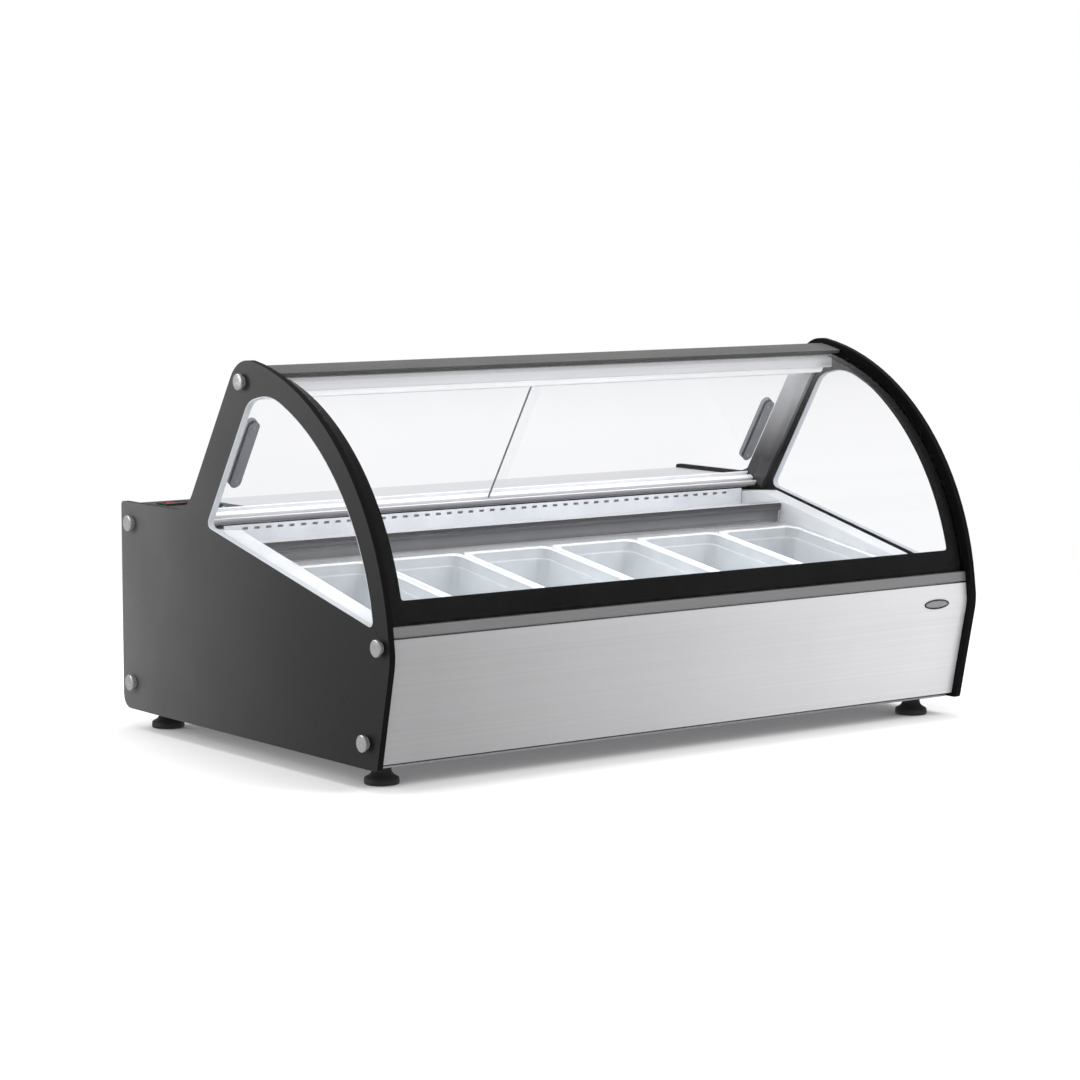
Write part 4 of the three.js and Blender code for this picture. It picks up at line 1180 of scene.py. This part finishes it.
# ---------------------------------------------------------------- stage, lights and camera
MIRRORED_STUDIO = 0.5  # brightness of the floor and the surround in reflections
FLOOR_RADIUS = 14.0
BELOW_FEET = 0.2 * MM


def studio_floor():
    """A round pale floor that fades into the backdrop."""
    ring = []
    for angle in np.linspace(0, 2 * math.pi, 96, endpoint=False):
        ring.append((FLOOR_RADIUS * math.cos(angle), FLOOR_RADIUS * math.sin(angle), -BELOW_FEET))
    mesh = bpy.data.meshes.new("studio_floor")
    mesh.from_pydata(ring, [], [tuple(range(len(ring)))])
    recipe = Recipe("studio_floor")
    recipe.set(
        Base_Color=recipe.tones(recipe.noise(2), grey(0.93), grey(0.95)),
        Roughness=0.75,
    )
    recipe.shader.inputs["Specular IOR Level"].default_value = 0.1
    away = recipe.add("ShaderNodeVectorMath", operation="LENGTH")
    recipe.link(recipe.where(), away.inputs[0])
    fade = recipe.between(away.outputs["Value"], 0.0, 1.0, (0.9, 2.4))
    mirrored = recipe.add("ShaderNodeLightPath").outputs["Is Glossy Ray"]
    surface = recipe.shader.outputs[0]
    for share, brightness in ((fade, 1.0), (mirrored, MIRRORED_STUDIO)):
        glow = recipe.add("ShaderNodeEmission")
        glow.inputs["Strength"].default_value = brightness
        mix = recipe.add("ShaderNodeMixShader")
        recipe.link(share, mix.inputs["Fac"])
        recipe.link(surface, mix.inputs[1])
        recipe.link(glow.outputs[0], mix.inputs[2])
        surface = mix.outputs[0]
    recipe.link(surface, recipe.output.inputs["Surface"])
    mesh.materials.append(recipe.material)
    floor = bpy.data.objects.new("studio_floor", mesh)
    bpy.context.scene.collection.objects.link(floor)


def backdrop_light(seen, given, mirrored):
    """A white surround, with its own brightness to the camera, to matt surfaces and in mirrors."""
    world = bpy.data.worlds.new("studio")
    world.use_nodes = True
    bpy.context.scene.world = world
    tree = world.node_tree
    light = tree.nodes["Background"]
    path = tree.nodes.new("ShaderNodeLightPath")
    strength = given
    for ray, brightness in (("Is Glossy Ray", mirrored), ("Is Camera Ray", seen)):
        choose = tree.nodes.new("ShaderNodeMix")
        tree.links.new(path.outputs[ray], choose.inputs["Factor"])
        if isinstance(strength, bpy.types.NodeSocket):
            tree.links.new(strength, choose.inputs["A"])
        else:
            choose.inputs["A"].default_value = strength
        choose.inputs["B"].default_value = brightness
        strength = choose.outputs["Result"]
    light.inputs["Color"].default_value = (1, 1, 1, 1)
    tree.links.new(strength, light.inputs["Strength"])


def soft_box(name, at, aim, size, watts, mirrored=True):
    """A rectangular light aimed at a point; `mirrored` lets it show in reflections."""
    lamp = bpy.data.lights.new(name, "AREA")
    lamp.shape = "RECTANGLE"
    lamp.size, lamp.size_y = size
    lamp.energy = watts
    box = bpy.data.objects.new(name, lamp)
    bpy.context.scene.collection.objects.link(box)
    box.location = at
    box.rotation_euler = (Vector(aim) - Vector(at)).to_track_quat("-Z", "Y").to_euler()
    box.visible_glossy = mirrored
    box.visible_camera = False


def camera(azimuth, elevation, distance, lens, aim):
    """A camera looking at a point, round from -Y by the azimuth and up by the elevation."""
    data = bpy.data.cameras.new("camera")
    data.lens = lens
    data.sensor_width = 36
    body = bpy.data.objects.new("camera", data)
    bpy.context.scene.collection.objects.link(body)
    a, e = math.radians(azimuth), math.radians(elevation)
    back = Vector((math.sin(a) * math.cos(e), -math.cos(a) * math.cos(e), math.sin(e)))
    body.location = Vector(aim) + back * distance
    body.rotation_euler = (-back).to_track_quat("-Z", "Y").to_euler()
    bpy.context.scene.camera = body


studio_floor()
backdrop_light(seen=1.0, given=0.9, mirrored=MIRRORED_STUDIO)
soft_box("key_light", (1.6, -2.6, 2.6), aim=(0, 0, 0.2), size=(1.8, 1.8), watts=60, mirrored=False)
soft_box("rear_left_light", (-2.2, 1.4, 1.0), aim=(-0.6, 0.2, 0.2), size=(0.9, 0.9), watts=22)
soft_box("top_light", (0, 0.1, 2.6), aim=(0, 0, 0), size=(2.2, 1.4), watts=45, mirrored=False)
under_lamp = middle("lamp_diffuser") - Vector((0, 0, 16 * MM))
lamp_aim = under_lamp - Vector((0, 0.2, 1))
soft_box("display_lamp", under_lamp, lamp_aim, size=(1.1, 0.03), watts=0.9, mirrored=False)
camera(azimuth=-36.6, elevation=6.36, distance=5.402, lens=109.06, aim=(0, 0.0339, 0.2992))

view = bpy.context.scene.view_settings
view.view_transform = "Standard"
view.look = "None"
bpy.context.scene.cycles.transparent_max_bounces = 40
